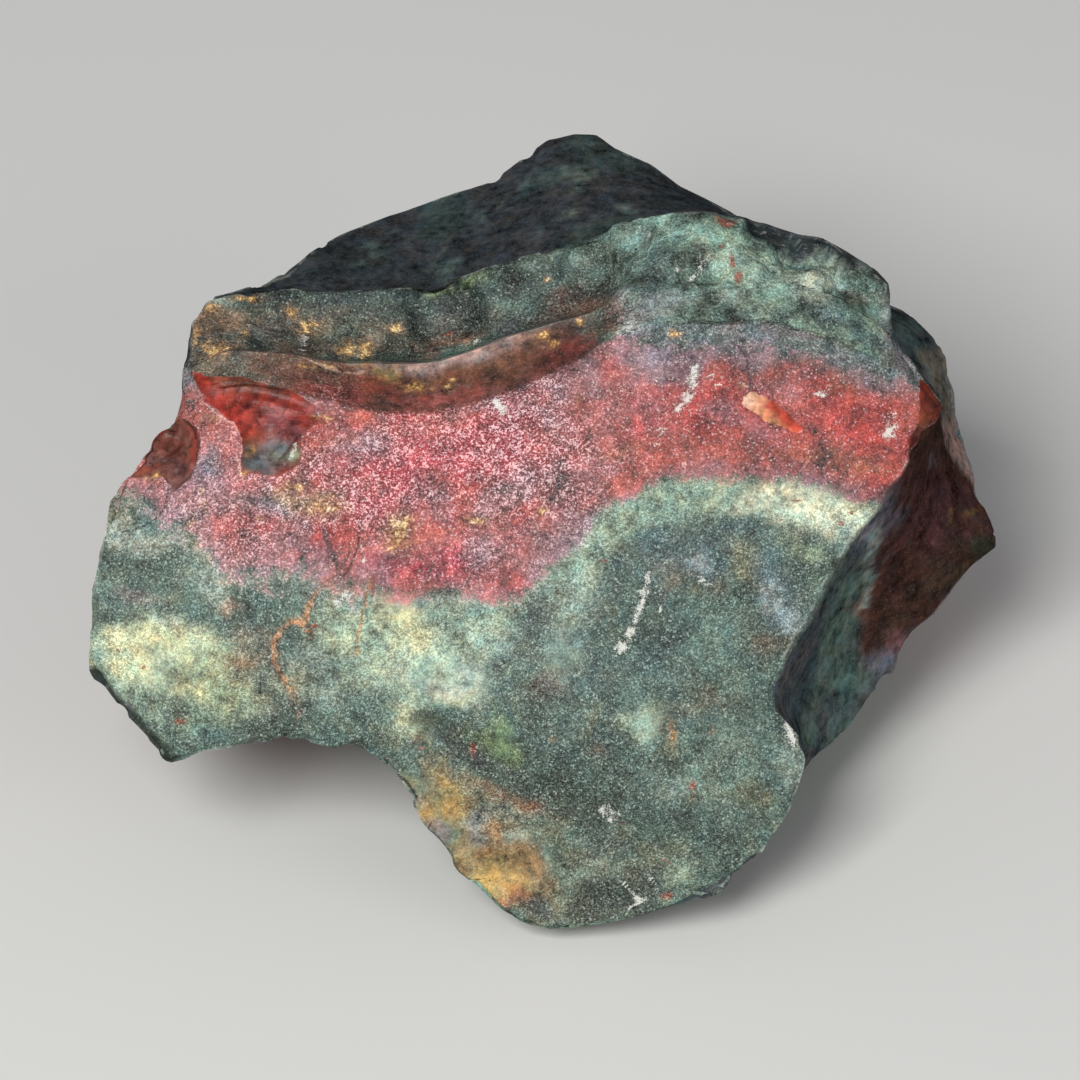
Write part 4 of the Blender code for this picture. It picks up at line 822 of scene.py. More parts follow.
onFacet = stepUp(2.0, 8.0, u)  # the right part of the step
step = paint(paint(green, "fern", 0.85 * inStep), "pine", 0.6 * stepUp(0.0, 0.8, blots))
step = step * (0.6 + 0.8 * onFacet)[:, None]
step = paint(step, "peat", 0.85 * stepUp(-15.0, -21.0, u) * stepUp(20.5, 18.5, v))
step = paintClouds(step, stepClouds, inStep)
step = paint(paint(step, "ash", 0.85 * stepUp(27.5, 30.0, u)), "rose", 0.6 * stepUp(14.0, 12.0, v) * (u > 28))
step = step * (1 + 1.05 * roughNoise(points, 2.2, 3, 91) + 0.22 * stepChips)[:, None]
step = step * (0.8 + 0.5 * onFacet - 0.25 * stepUp(20.0, 27.0, u))[:, None]
step = step * (1 + onFacet[:, None] * (0.06, 0.0, -0.04))
step = paint(np.clip(step, 0, 1), "night", 0.95 * darkFlake) * (1 - 0.6 * darkFlake)[:, None]
bandShare = np.clip((ringOf - rimRing) / (crestRing - rimRing), 0, 1)
hollow = paint(ground("liver"), "umber", stepUp(0.2, 0.7, bandShare + 0.3 * clouds))
inMiddle = stepUp(-17.0, -12.0, u) * stepUp(3.0, -1.0, u)
hollow = paint(hollow, "husk", 0.85 * stepUp(0.7, 0.96, bandShare + 0.12 * clouds) * inMiddle)
hollow = paint(hollow, "cocoa", 0.85 * stepUp(-0.5, 3.5, u - 3 * (0.5 - bandShare)))
hollow = paint(paintClouds(hollow, hollowClouds, inHollow), "cocoa", 0.8 * stepUp(0.22, 0.0, bandShare))
hollow = paint(hollow, "liver", 0.9 * stepUp(0.1, 0.5, bandShare + 0.3 * clouds) * stepUp(-15.0, -18.0, u))
hollow = paint(hollow, "peat", 0.4 * stepUp(0.6, 1.0, bandShare + 0.3 * clouds) * stepUp(-13.0, -18.0, u))
hollow = hollow * (1 + 0.35 * roughNoise(points, 1.8, 2, 95)[:, None])
scarRed = paintClouds(ground("wine"), sleekClouds, sleek)
onChip = stepUp(-0.6, -0.2, scarOf["salmonChip"])
scarRed = paint(scarRed, "salmon", 0.9 * onChip)
scarRed = paint(scarRed, "shell", 0.7 * onChip * stepUp(18.8, 17.4, near[0]))
chipEnd = stepUp(0.8, 0.3, lineDistance(near, [(19.3, 11.2), (21.8, 9.3)]))
scarRed = paint(scarRed, "blood", 0.9 * onChip * chipEnd)
onBevel = stepUp(-0.5, -0.1, scarOf["bevelHigh"])
# the upper bevel is umber, and its darkening overall is painted shade
scarRed = paint(scarRed, "umber", 0.2 * onBevel) * (1 - 0.36 * onBevel)[:, None]
scarRed = paint(scarRed, "rust", 0.25 * (v < 12) * stepUp(1.4, 0.2, np.hypot(near[0] - 31.7, near[1] - 9.8)))
scarRed = paint(scarRed, "soot", 0.3 * (u > 31) * stepUp(0.2, 1.6, scarOf["bevelHigh"]))
scarRed = paint(scarRed, "cocoa", 0.5 * stepUp(-0.5, -0.1, scarOf["bevelLow"]))
scarRed = paint(scarRed, "liver", 0.75 * stepUp(-28.2, -29.6, near[0]))

border = np.interp(near[1], [-14, -8.3, -4.2, -0.4, 3], [27.6, 26.7, 27.3, 27.9, 28.6])
stripRim = [
    (31, 16), (33.6, 10.6), (33.8, 8.3), (34.5, 6.7), (35.3, 5.4), (36.1, 4.5), (37.4, 2.4), (39, 2.4),
    (37, 16),
]
strip = stepUp(-0.15, 0.25, insideBy(near, stripRim)) * rightSide  # the next facet back, seen along its rim
rightRed = (1 - strip) * rightSide * stepUp(-0.8, 0.8, near[0] - border) * (v < 13)
rightRed = rightRed * stepUp(-1.5, 1.5, near[1] + 10.5 - 0.6 * (near[0] - 27))
flank = paint(ground("coal"), "night", 0.6 * stepUp(0.1, 0.8, mottle))
flank = paint(flank, "pond", 0.5 * stepUp(0.1, 0.8, -mottle))
flank = paint(paintClouds(flank, flankClouds, rightSide), "cocoa", rightRed)
flank = paintClouds(paint(flank, "wine", 0.3 * rightRed * stepUp(0.1, 0.8, mottle)), flankReds, rightSide)
# a pale line of painted glints along the border between the green and the red of the flank
seamAndGlints = stepUp(0.5, 0.0, abs(near[0] - border + 0.1) + 0.5 * clouds) * (abs(v + 2.4) < 3.4)
flank = paint(flank, "mist", 0.6 * rightSide * seamAndGlints)
flank = paint(flank, "khaki", strip * (0.4 + 0.4 * stepUp(11.0, 8.5, v)))
flank = paint(flank, "rose", 0.35 * strip * stepUp(11.0, 8.5, v))
flank = paintClouds(flank, rearClouds, topSide)
flankShade = np.where(rightSide, 1.3 - 0.75 * rightRed, 0.85)[:, None]
ridgeRim = stepUp(1.8, 0.5, lineDistance((u, v), closed(backRidge)))
ridgeRim = ridgeRim * (zoneOf > ridgeZone) * (v > -16) * (u > 24)
# the dark of the saddle runs on a little past the back ridge
*belowWaist, aboveWaist = stone["backSteps"]
pastRidge = (ringOf - backFirst - sum(belowWaist)) / aboveWaist
pastRidge = 0.9 * stepUp(0.45, 0.95, pastRidge + 0.3 * clouds) * (zoneOf == rearZone) * facing(92, 70)


def overlay(base):  # the same shelf, flanks and scars go over the green and over the red
    base = base * (1 - 0.25 * hidden * glassy)[:, None]
    base = base + (0.85 * ridgeRim)[:, None] * (0.8 * ground("storm") - base)
    for cover, mask in ((step, inStep), (hollow, inHollow), (flank * flankShade, seenFlank + pastRidge),
                        (0.5 * ground("soot"), underTip)):
        base = base + mask[:, None] * (cover - base)
    return base


# how thickly the white grains lie: thick in the middle of the red, thin on its right and on the scars
frost = 0.12
for strength, middle, radii in ((0.55, (-6, 6), (15, 6.5)), (0.3, (-25, 2), (7, 8)),
                                (0.2, (-8, 13), (8, 1.6)), (0.15, (-9, -2.5), (4, 2))):
    frost = frost + strength * patch(at, middle, radii)
frost = frost * (1 - 0.75 * patch(at, (21, 8), (12, 5))) + 0.08 * mottle
frost = np.clip(frost * (1 - 0.5 * inStep), 0, 1)

spots = {  # middle, radii
    "iron": [((-18.3, 2.6), (2.2, 0.9)), ((-20.4, 4.5), (1.2, 0.5)), ((-17.2, 3.6), (1.2, 0.5)),
             ((-11.8, 0.6), (1.3, 2)), ((-11, 1.8), (0.6, 0.5)), ((-5.4, 1.7), (1.2, 0.5)),
             ((0, 2.5), (0.6, 0.4)), ((-27.4, 10.2), (0.7, 0.4)), ((-25.9, 11.3), (0.4, 0.35)),
             ((-18, 10.2), (1.1, 0.5)), ((-24.7, 5.4), (0.45, 0.5)), ((-24.2, 7.2), (0.6, 0.5)),
             ((-27.2, 15.8), (1.6, 0.8)), ((-16.2, 15.9), (1, 0.9)), ((-14.6, 15.9), (1, 0.8)),
             ((-20.8, 19), (0.7, 0.6)), ((-19.4, 17.8), (1, 0.6)), ((-12.2, 17.8), (0.8, 0.5)),
             ((-28.6, 17.2), (0.6, 1)), ((-24.6, 17.2), (0.5, 1.2)), ((-24.4, 20.2), (1.4, 0.4)),
             ((-27.4, 19.3), (1, 0.5)), ((-10.2, 12.7), (1.1, 0.6)), ((-7.7, 12.7), (0.6, 0.4)),
             ((-7.2, 13.4), (0.4, 0.3)), ((0.4, 16.8), (0.9, 0.6)), ((1.2, 16.2), (0.5, 0.4)),
             ((3.2, 18), (0.5, 0.4)), ((-18.2, 14.5), (1.2, 0.3)), ((-28.1, 4.1), (0.4, 0.3)),
             ((-32.4, 5.2), (1, 0.35)), ((11.2, 17), (0.6, 0.4)), ((-27.9, 2.8), (0.4, 0.5)),
             ((16.9, 13.1), (0.4, 0.4)), ((-29, 1.6), (0.4, 0.6)), ((17, 17.2), (0.3, 0.3)),
             ((3.2, 11.8), (0.3, 0.4)), ((-19.8, 14.4), (0.9, 0.3)), ((-23.4, 2), (0.3, 0.3)),
             ((14.2, -15.8), (0.4, 0.4)), ((11, -16.2), (0.35, 1)), ((1, -16.6), (0.4, 0.3)),
             ((-31.4, -6.8), (0.4, 0.3)), ((0.4, 21.8), (0.5, 0.3)), ((15, 26.8), (0.5, 0.3))],
    "rust": [((5.3, -1.7), (0.42, 0.42)), ((-30, -15), (0.6, 0.4)), ((-22.7, -2.9), (0.3, 0.3)),
             ((21.4, 3.1), (0.6, 0.3)), ((22.2, 1.4), (0.4, 0.35)), ((26.1, 2.4), (0.6, 0.28)),
             ((25.2, 1.4), (0.35, 0.25)), ((19, 2), (0.25, 0.25)), ((-19.3, -0.3), (0.32, 0.32)),
             ((20.2, 1.8), (0.3, 0.3)), ((-2, -5.9), (0.3, 0.2)), ((-5, -4.8), (0.3, 0.25)),
             ((20, 3.4), (0.3, 0.2)), ((-33, -10.6), (0.3, 0.3)), ((-29.1, -5.9), (0.22, 0.22)),
             ((-35.2, -9.2), (0.3, 0.25)), ((15.6, 26.4), (1.1, 0.6)), ((15.1, 24.4), (0.4, 0.3)),
             ((16.6, 21.8), (0.5, 0.8)), ((16, 23.2), (0.35, 1)), ((-7.4, 17.2), (0.7, 0.3)),
             ((10.6, -29.6), (0.7, 0.5)), ((10.6, -26.6), (0.5, 0.4)), ((12.6, -20.4), (0.6, 0.5)),
             ((-9.9, -17.4), (0.4, 0.25)), ((-5.6, -17.4), (0.4, 1)), ((6.8, -23.4), (0.7, 0.3)),
             ((-13.8, -3.6), (0.35, 1.4)), ((-19.2, -7), (1.3, 0.3)), ((23.6, 0.9), (0.2, 0.2)),
             ((18.6, 2.6), (0.2, 0.2)), ((-10.3, 3.6), (0.3, 0.2))],
}
bruises = {  # half-width of the crushed white stone, and its lines
    0.8: [[(13, 14.3), (12.7, 12.8)], [(12.5, 12.2), (11.4, 10.7)], [(10.2, 9.4), (9.9, 8.6)],
          [(9.8, 8), (9.3, 7.5)], [(9, -2.9), (8.4, -5.2), (7.8, -7.1), (6.7, -9.1)],
          [(5.2, -22.4), (6.4, -23.2)], [(-19.6, 16.8), (-19.9, 15.8)], [(29.2, 10.2), (29.4, 9.2)],
          [(28.6, 9), (29.4, 8.2)], [(20.6, -15.4), (21, -17)], [(-17, -5.2), (-15.6, -4.2)],
          [(6.9, 17.4), (7.7, 17.7)], [(-3.6, 11.4), (-3, 10.6)]],
    0.4: [[(10.3, -4.1), (10.1, -6)], [(6.4, -3.2), (6.5, -3.6)], [(14.2, 13.8), (15.2, 12.6)],
          [(-17.6, 9.4), (-15.6, 9.4)], [(-14.8, 1.6), (-14.6, -1.8)], [(24.4, 12.4), (23.6, 11.8)],
          [(22.6, 12), (24, 12.6)], [(12.8, -3), (14.4, -3.8)], [(6.8, -28.4), (8.4, -30)],
          [(9, -27.4), (9.8, -29.6)], [(7.4, -30.6), (9.2, -29.8)], [(12.6, 21.4), (14.2, 24)],
          [(9.4, 25), (8.2, 26.2)], [(10.8, 23), (11.8, 22.2)], [(-21.2, 6.2), (-20.2, 8.4)],
          [(15.8, -21.6), (14.8, -22)], [(-5.6, 17), (-5.3, 16.2)]],
}
offFront = 9 * (zoneOf > stepZone)  # keeps the marks on the front
# Cracks, and two dark lines of painted shade, in two layers, so that those of one layer keep clear of
# each other: line, half-width in mm, strength, colour.
cracksAndShadeLines = [
    [([(-31.7, 5.5), (-31, 4.3), (-31.2, 2.9), (-32.3, 1.4), (-34, 0.7), (-35.2, 0.7)], 0.06, 0.9,
      "#2b2622"), ([(-33.2, 6.3), (-31.7, 6.6), (-30.3, 7.5), (-29.6, 8.1)], 0.13, 0.85, "#4a1f1c"),
     ([(-15.1, 2), (-14.9, 0.6), (-15.2, -1), (-15.9, -2.6), (-16.7, -3.4)], 0.08, 0.9, "#4e1f1e"),
     # painted shadow: the dark gash along the left side of the raised lens
     ([(-18.3, 1.5), (-17.9, 0.4), (-17.3, -1), (-16.7, -2.1), (-16.8, -2.9)], 0.24, 0.7, "#322c33"),
     ([(-16.6, -2.6), (-18.2, -4), (-19.6, -5.9), (-19.3, -7), (-20.7, -6.8), (-21.6, -7.5), (-22.3, -8.6),
       (-22, -10.2), (-20.9, -12.1), (-20.2, -13.8), (-20.5, -15.9)], 0.36, 0.5, "#6b4c38"),
     ([(15.8, 16.5), (16.8, 15.7), (17.4, 14.4), (17.7, 13.3), (17.4, 12.3), (17.1, 11.9)], 0.1, 0.85,
      "#45282a"),
     ([(15.2, 17.9), (16.7, 17.4), (18.1, 17.6), (19, 18.1), (20.2, 18.2), (21.5, 17.3)], 0.12, 0.7,
      "#25302d"), ([(-24.3, 3.9), (-24.2, 2.6), (-24, 1.2)], 0.1, 0.8, "#4a2c2c"),
     ([(0.6, 9.5), (1.9, 9), (3.1, 8.3)], 0.07, 0.7, "#8e3226"),
     ([(-19.9, 8.9), (-20.9, 7.7), (-21.9, 6.4)], 0.12, 0.7, "#4c2624"),
     ([(15.8, -12.2), (17.4, -13.6), (18, -15.6)], 0.07, 0.6, "#2c3a38"),
     ([(-13.3, -17.7), (-12.2, -19.1), (-10.7, -20.7), (-10, -22)], 0.14, 0.9, "#1b1512"),
     # painted shade: a dark line down the fold of the lower lobe
     ([(-9, -15.9), (-6, -17.5), (-2.5, -19.3), (0.6, -20.3)], 0.1, 0.35, "#26302b"),
     ([(-34.2, -15.9), (-32.8, -15.2), (-31.4, -16.1)], 0.1, 0.8, "#1d2422")],
    [([(-30.1, 10.4), (-28.8, 9.2), (-28.4, 7.8), (-28.8, 5.8), (-30, 4.3), (-31, 3.9)], 0.1, 0.85,
      "#3a2420"),
     ([(-28.5, 11.7), (-26.8, 10.5), (-25.5, 9.8), (-24.9, 8.7), (-24.9, 7.2), (-25, 5.5), (-24.4, 4.2)],
      0.07, 0.5, "#d8a8a0"),
     ([(-14, -2.3), (-14.6, -5.3), (-15.1, -7.8), (-15.5, -10.5)], 0.1, 0.75, "#96683c"),
     ([(-17.9, -3.6), (-19.5, -5.8), (-19.3, -6.9), (-20.7, -6.8), (-21.6, -7.5), (-22.3, -8.6),
       (-22, -10.2), (-20.9, -12.1), (-20.3, -13.4)], 0.16, 0.85, "#9c6b44"),
     ([(19.9, 16.8), (21, 15.5), (21.8, 13.9), (22, 12.8)], 0.08, 0.65, "#64383a"),
     ([(-4.3, 1.2), (-4.1, -0.4), (-3.8, -1.6)], 0.07, 0.6, "#5c2426"),
     ([(-19.2, 14.9), (-17, 14.2), (-15.2, 13.9), (-14.2, 14.3)], 0.1, 0.5, "#c8a58a"),
     ([(12.4, 21.6), (14.2, 20.6), (15.8, 21.4), (17.6, 20.8)], 0.08, 0.5, "#26332f"),
     ([(20.2, 23.2), (21.8, 22.2), (23.4, 22.8), (25, 21.6)], 0.1, 0.6, "#222c2a")],
]


def crackAndShadeFields(lines):
    # The distance from the nearest of these lines is signed, one side of it or the other, so it runs straight
    # through zero between two mesh points, and the shader draws a line finer than the mesh from it.
    nearest, side, width = np.full(len(points), 1e3), np.full(len(points), 9.0), np.zeros(len(points))
    colour = np.zeros((len(points), 4))
    for line, halfWidth, strength, code in lines:
        lengths = [math.hypot(e[0] - s[0], e[1] - s[1]) for s, e in zip(line[:-1], line[1:])]
        for n, (start, end) in enumerate(zip(line[:-1], line[1:])):
            du, dv = (end[0] - start[0]) / lengths[n], (end[1] - start[1]) / lengths[n]
            along = np.clip((near[0] - start[0]) * du + (near[1] - start[1]) * dv, 0, lengths[n])
            away = np.hypot(near[0] - start[0] - along * du, near[1] - start[1] - along * dv)
            share = (sum(lengths[:n]) + along) / sum(lengths)
            closer = away < nearest
            nearest[closer] = away[closer]
            side[closer] = ((near[0] - start[0]) * dv - (near[1] - start[1]) * du)[closer]
            tapered = halfWidth * stepUp(0.0, 0.15, share) * stepUp(1.0, 0.85, share)
            width[closer] = (tapered * (away < 1.2))[closer]
            colour[closer] = (*hexColour(code), strength)
    return side, width * (offFront == 0), colour


shells = (near[1] < 10.3) & (near[0] < -27.6)
shellRing, tongueRing = (np.hypot(near[0] - c[0], near[1] - c[1]) for c in ((-32.8, 9.8), (-28.0, 14.4)))
rippled = np.max([scarOf[name] for name in ("tongue", "shellHigh", "shellLow")], axis=0)
fields = {
    "red": redIn, "glassy": glassy, "frost": frost, "flank": seenFlank, "sleekIn": sleekIn,
    "crags": inStep * (0.3 + 0.7 * stepUp(3.0, 8.0, u)),
    "rippled": stepUp(-0.1, 0.3, rippled),
    "ring": np.where(shells, shellRing, tongueRing),  # mm from where the blow fell
}
crackAndShadeColours = []
for layer, lines in enumerate(cracksAndShadeLines):
    fields[f"crackSide{layer}"], fields[f"crackWidth{layer}"], colours = crackAndShadeFields(lines)
    crackAndShadeColours.append(colours)
for name, places in spots.items():
    fields[name] = 1 - np.min([ovalDistance(near, *place) for place in places], axis=0) - offFront
fields["bruise"] = np.max([1 - lineDistance(near, line) / width for width, lines in bruises.items()
                           for line in lines], axis=0) - offFront
fields["edge"] = np.min([
    lineDistance((u, v), closed(frontEdge)) + offFront,
    lineDistance((u, v), shelfCrest[4:12]) * 1.4 + 9 * ((zoneOf > crestZone) | (zoneOf < bandZone)),
    lineDistance((u, v), closed(backRidge)) * 1.3 + 9 * ((ringOf % backFirst < ridgeRing - 6) | (v < 14)),
], axis=0)
fields["edge"] += 9 * (np.maximum(scarOf["bevelHigh"], scarOf["bevelLow"]) > -0.3)


def addColours(name, values):
    layer = mesh.attributes.new(name, "FLOAT_COLOR", "POINT")
    layer.data.foreach_set("color", values.astype(np.float32).ravel())


print("stone: making its mesh")
low, high = (np.array(corner) / stone["mm"] for corner in cadBox)
points = np.clip(points, low, high)  # no part of it passes the solid's box
mesh = bpy.data.meshes.new("bloodstoneChunk")
mesh.from_pydata((points * stone["mm"]).tolist(), [], quads.tolist())
mesh.shade_smooth()
mesh.set_sharp_from_angle(angle=stone["sharpEdge"])
for name, values in fields.items():
    mesh.attributes.new(name, "FLOAT", "POINT").data.foreach_set("value", values.astype(np.float32))
for layer, colours in enumerate(crackAndShadeColours):
    addColours(f"crackAndShadeColour{layer}", colours)
for name, colours in (("greenGround", overlay(green)), ("redGround", overlay(red)), ("scarGround", scarRed)):
    addColours(name, np.column_stack([np.clip(colours, 0, 1), np.ones(len(points))]))
# the front half of the stone lies on the left of the map, the back half mirrored on the right
atlas = mesh.uv_layers.new(name="OFBake")
cell = np.stack(np.meshgrid(np.arange(side), np.arange(side), indexing="ij"), -1)[:-1, :-1].reshape(-1, 2)
corners = (cell[:, None] + np.array([(0, 0), (1, 0), (1, 1), (0, 1)])) / (side - 1)
left, right = corners * (0.486, 0.972) + (0.007, 0.014), corners * (-0.486, 0.972) + (0.993, 0.014)
square = np.concatenate([left, right[:, ::-1]])
atlas.data.foreach_set("uv", square.astype(np.float32).ravel())
chunk = bpy.data.objects.new("bloodstoneChunk", mesh)
bpy.context.scene.collection.objects.link(chunk)
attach(chunk, "root")
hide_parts("bloodstone")

# Chalcedony broken with a hammer. Where the break is grainy the eye sees a crust of tiny tipped facets,
# some of them frosted white and some in shadow. Where a flake came off clean it is smooth and waxy.
chalcedony = {
    "crag": 1.7,  # mm from one little hollow of the facet to the next
    "grain": 0.13,  # mm across one facet; the real ones go down to about half of this, too fine to show
    "speckles": (2.2, 0.7, 0.22, 0.1),  # mm across
    "mottle": 1.6,  # mm
    "warmth": 1.2,  # how far the ground leans brown or teal from one place to the next
    "tilt": 0.3,  # how far the facets tip
    "silver": 0.17,  # share of white in a lit grain
    "grainDark": -0.45,  # how much darker than the ground a grain in shadow is
    "grainLit": 0.65,  # how much lighter a lit one is
    "rarest": (0.93, 0.99),  # of all grains, the few above this are pits painted in shade, and a few others glints
    "pitShade": -0.5,
    "glint": 0.45,
    "blotchesAndCragShade": (2.5, 2.1, 0.8, 1.3),  # light and dark of the first three speckles, and the painted shade in the crags' hollows and light on their ridges
    "dullRoughness": 0.60,
    "sleekRoughness": 0.36,
    "index": 1.54,  # quartz
    "sheen": 0.3,  # less than quartz alone, because the fracture is never quite polished
    "flankSheen": 0.0,
    "scarSheen": 0.16,
    "frostOnRed": "#efd8d8",
    "frostOnGreen": "#c4d6c8",
    "ripple": 1.3,  # mm from one ripple of a clean scar to the next
    "reliefDepth": 0.12,  # mm
    "wearAndEdgeGlow": 0.4,  # how far the edges are pale: partly rubbed, partly painted light glowing through the thin edges
    "wearAndEdgeGlowColour": "#b4bab0",
    "crushed": 0.8,  # how far the bruises cover the stone
    "crushedStone": "#dcdcd2",
}
# Marks over the ground: field, how ragged its rim is, where it starts and is full, strength, colour.
marks = [
    ("iron", 2, -0.6, 0.3, 0.45, "#7c5c40"), ("iron", 2, 0.1, 0.8, 0.75, "#b07c34"),
    ("iron", 3, 0.5, 1, 0.5, "#e2cc96"), ("rust", 1.2, 0, 0.5, 0.85, "#7c3424"),
]
print("stone: mixing its material")
material = bpy.data.materials.new("hammerBrokenChalcedony")
material.use_nodes = True
tree = material.node_tree
shader = tree.nodes["Principled BSDF"]
mm = stone["mm"]


def node(kind, output, inputs, **settings):
    # Adds a node with its settings and links, and gives one of its outputs. The inputs are a
    # dictionary, or stand in the order of the node's own sockets.
    added = tree.nodes.new("ShaderNode" + kind)
    for name, value in settings.items():
        setattr(added, name, value)
    for name, value in inputs.items() if isinstance(inputs, dict) else enumerate(inputs):
        if isinstance(value, bpy.types.NodeSocket):
            tree.links.new(value, added.inputs[name])
        else:
            added.inputs[name].default_value = value
    return added.outputs[output]


def rgba(code):
    return (*hexColour(code), 1.0)


# settings that many of the nodes share
plus, minus, times, timesPlus, scaled = (
    {"operation": name} for name in ("ADD", "SUBTRACT", "MULTIPLY", "MULTIPLY_ADD", "SCALE"))
smooth, inColour = {"interpolation_type": "SMOOTHSTEP"}, {"data_type": "RGBA"}

place = node("TexCoord", "Object", {})
grain = node("TexVoronoi", "Color", {"Vector": place, "Scale": 1 / (chalcedony["grain"] * mm)})
grainTone, glint, pitShade = (node("SeparateColor", channel, (grain,)) for channel in range(3))
grainTone = node("Math", 0, (grainTone, 0.5), **minus)
glint, pitShade = (node("MapRange", 0, (channel, *chalcedony["rarest"])) for channel in (glint, pitShade))
coarse, medium, finer, finest = (
    node("TexNoise", 0, {"Vector": place, "Scale": 1 / (size * mm), "Detail": 3.0})
    for size in chalcedony["speckles"])
coarse, medium, finer, finest = (  # from -0.5 to 0.5
    node("Math", 0, (speckle, 0.5), **minus) for speckle in (coarse, medium, finer, finest))
read = {name: node("Attribute", "Fac", {}, attribute_name=name) for name in fields}
greenGround, redGround, scarGround = (
    node("Attribute", "Color", {}, attribute_name=name)
    for name in ("greenGround", "redGround", "scarGround"))
ragged = node("Math", 0, (medium, 0.9, node("Math", 0, (finer, 0.5), **times)), **timesPlus)
onScar = node("Math", 0, (ragged, 0.35, read["sleekIn"]), **timesPlus)
onScar = node("MapRange", 0, (onScar, -0.07, 0.07), **smooth)
dull = node("Math", 0, (1.0, node("Math", 0, (read["glassy"], onScar), operation="MAXIMUM")), **minus)
redHere = node("Math", 0, (ragged, 2.2, read["red"]), **timesPlus)
redHere = node("Math", 0, (coarse, 2.4, redHere), **timesPlus)
redHere = node("MapRange", 0, (redHere, -0.65, 0.65), **smooth)
tone = node("Mix", 2, {0: redHere, 6: greenGround, 7: redGround}, **inColour)
tone = node("Mix", 2, {0: onScar, 6: tone, 7: scarGround}, **inColour)
# every millimetre or so the ground leans brown or teal
lean = {"Vector": place, "Scale": 1 / (chalcedony["mottle"] * mm), "Detail": 5.0, "Roughness": 0.6}
lean = node("Math", 0, (node("TexNoise", 0, lean), 0.5), **minus)
lean = node("Math", 0, (lean, chalcedony["warmth"]), **times)
lean = node("CombineXYZ", 0, (lean, *(node("Math", 0, (lean, share), **times) for share in (0.1, -0.45))))
lean = node("VectorMath", "Vector", (lean, (1.0, 1.0, 1.0)), **plus)
tone = node("VectorMath", "Vector", (tone, lean), **times)
wave = node("Math", 0, (read["ring"], 2 * math.pi / chalcedony["ripple"]), **times)
wave = node("Math", 0, (node("Math", 0, (medium, 9.0, wave), **timesPlus),), operation="SINE")
wave = node("Math", 0, (wave, read["rippled"]), **times)
# painted light and shade in bands that follow the ripples of the clean scars
rippleLightAndShade = node("Math", 0, (wave, 0.16, 1.0), **timesPlus)
tone = node("VectorMath", "Vector", {0: tone, "Scale": rippleLightAndShade}, **scaled)
for name, rim, start, full, strength, colour in marks:
    share = node("Math", 0, (ragged, rim, read[name]), **timesPlus)
    share = node("MapRange", 0, (share, start, full, 0.0, strength), **smooth)
    tone = node("Mix", 2, {0: share, 6: tone, 7: rgba(colour)}, **inColour)
for layer in range(len(cracksAndShadeLines)):
    colour, strength = (
        node("Attribute", kind, {}, attribute_name=f"crackAndShadeColour{layer}") for kind in ("Color", "Alpha"))
    across = node("Math", 0, (ragged, 0.4, read[f"crackSide{layer}"]), **timesPlus)
    across = node("Math", 0, (across,), operation="ABSOLUTE")
    width = node("Math", 0, (medium, 3.0, 1.0), **timesPlus)
    width = node("Math", 0, (read[f"crackWidth{layer}"], width), **times)
    width = node("Math", 0, (width, 0.001), operation="MAXIMUM")
    line = node("MapRange", 0, (node("Math", 0, (across, width), operation="DIVIDE"), 1.7, 0.5), **smooth)
    tone = node("Mix", 2, {0: node("Math", 0, (line, strength), **times), 6: tone, 7: colour}, **inColour)

# little hollows crowd together on the facet and meet in sharp ridges
bent = node("CombineXYZ", 0, (coarse, medium, coarse))
bent = node("VectorMath", "Vector", {0: bent, "Scale": 2.0 * mm}, **scaled)
bent = node("VectorMath", "Vector", (place, bent), **plus)
cragged = node("TexVoronoi", "Distance", {"Vector": bent, "Scale": 1 / (chalcedony["crag"] * mm)})
cragRelief = node("Math", 0, (node("Math", 0, (cragged, 0.42), **minus), read["crags"]), **times)
# each grain is lighter or darker than the next, and the lit ones are silvery or frosted quite white
# the crags are painted darker in their hollows and lighter on their ridges: painted shade and light
shade = 1.0
for source, weight in zip((coarse, medium, finer, cragRelief), chalcedony["blotchesAndCragShade"]):
    shade = node("Math", 0, (source, weight, shade), **timesPlus)
tone = node("VectorMath", "Vector", {0: tone, "Scale": shade}, **scaled)
frostColour = [rgba(chalcedony[name]) for name in ("frostOnGreen", "frostOnRed")]
frostColour = node("Mix", 2, {0: redHere, 6: frostColour[0], 7: frostColour[1]}, **inColour)
silver = node("Math", 0, (finer, 0.5, finest), **timesPlus)
silver = node("Math", 0, (grainTone, 0.28, silver), **timesPlus)
silver = node("MapRange", 0, (silver, -0.12, 0.2), **smooth)
# the grains tell less where red stone has no frost on it
quiet = node("MapRange", 0, (read["frost"], 0.15, 0.5, 0.5, 0.0))
quiet = node("MapRange", 0, (redHere, 0.0, 1.0, 0.18, quiet))
told = node("Math", 0, (dull, node("Math", 0, (1.0, quiet), **minus)), **times)
dim = node("Math", 0, (told, chalcedony["grainDark"], 1.0), **timesPlus)
bright = node("Math", 0, (told, chalcedony["grainLit"], 1.0), **timesPlus)
dim, bright = (node("VectorMath", "Vector", {0: tone, "Scale": share}, **scaled) for share in (dim, bright))
silvered = node("Math", 0, (told, chalcedony["silver"]), **times)
bright = node("Mix", 2, {0: silvered, 6: bright, 7: frostColour}, **inColour)
tone = node("Mix", 2, {0: silver, 6: dim, 7: bright}, **inColour)
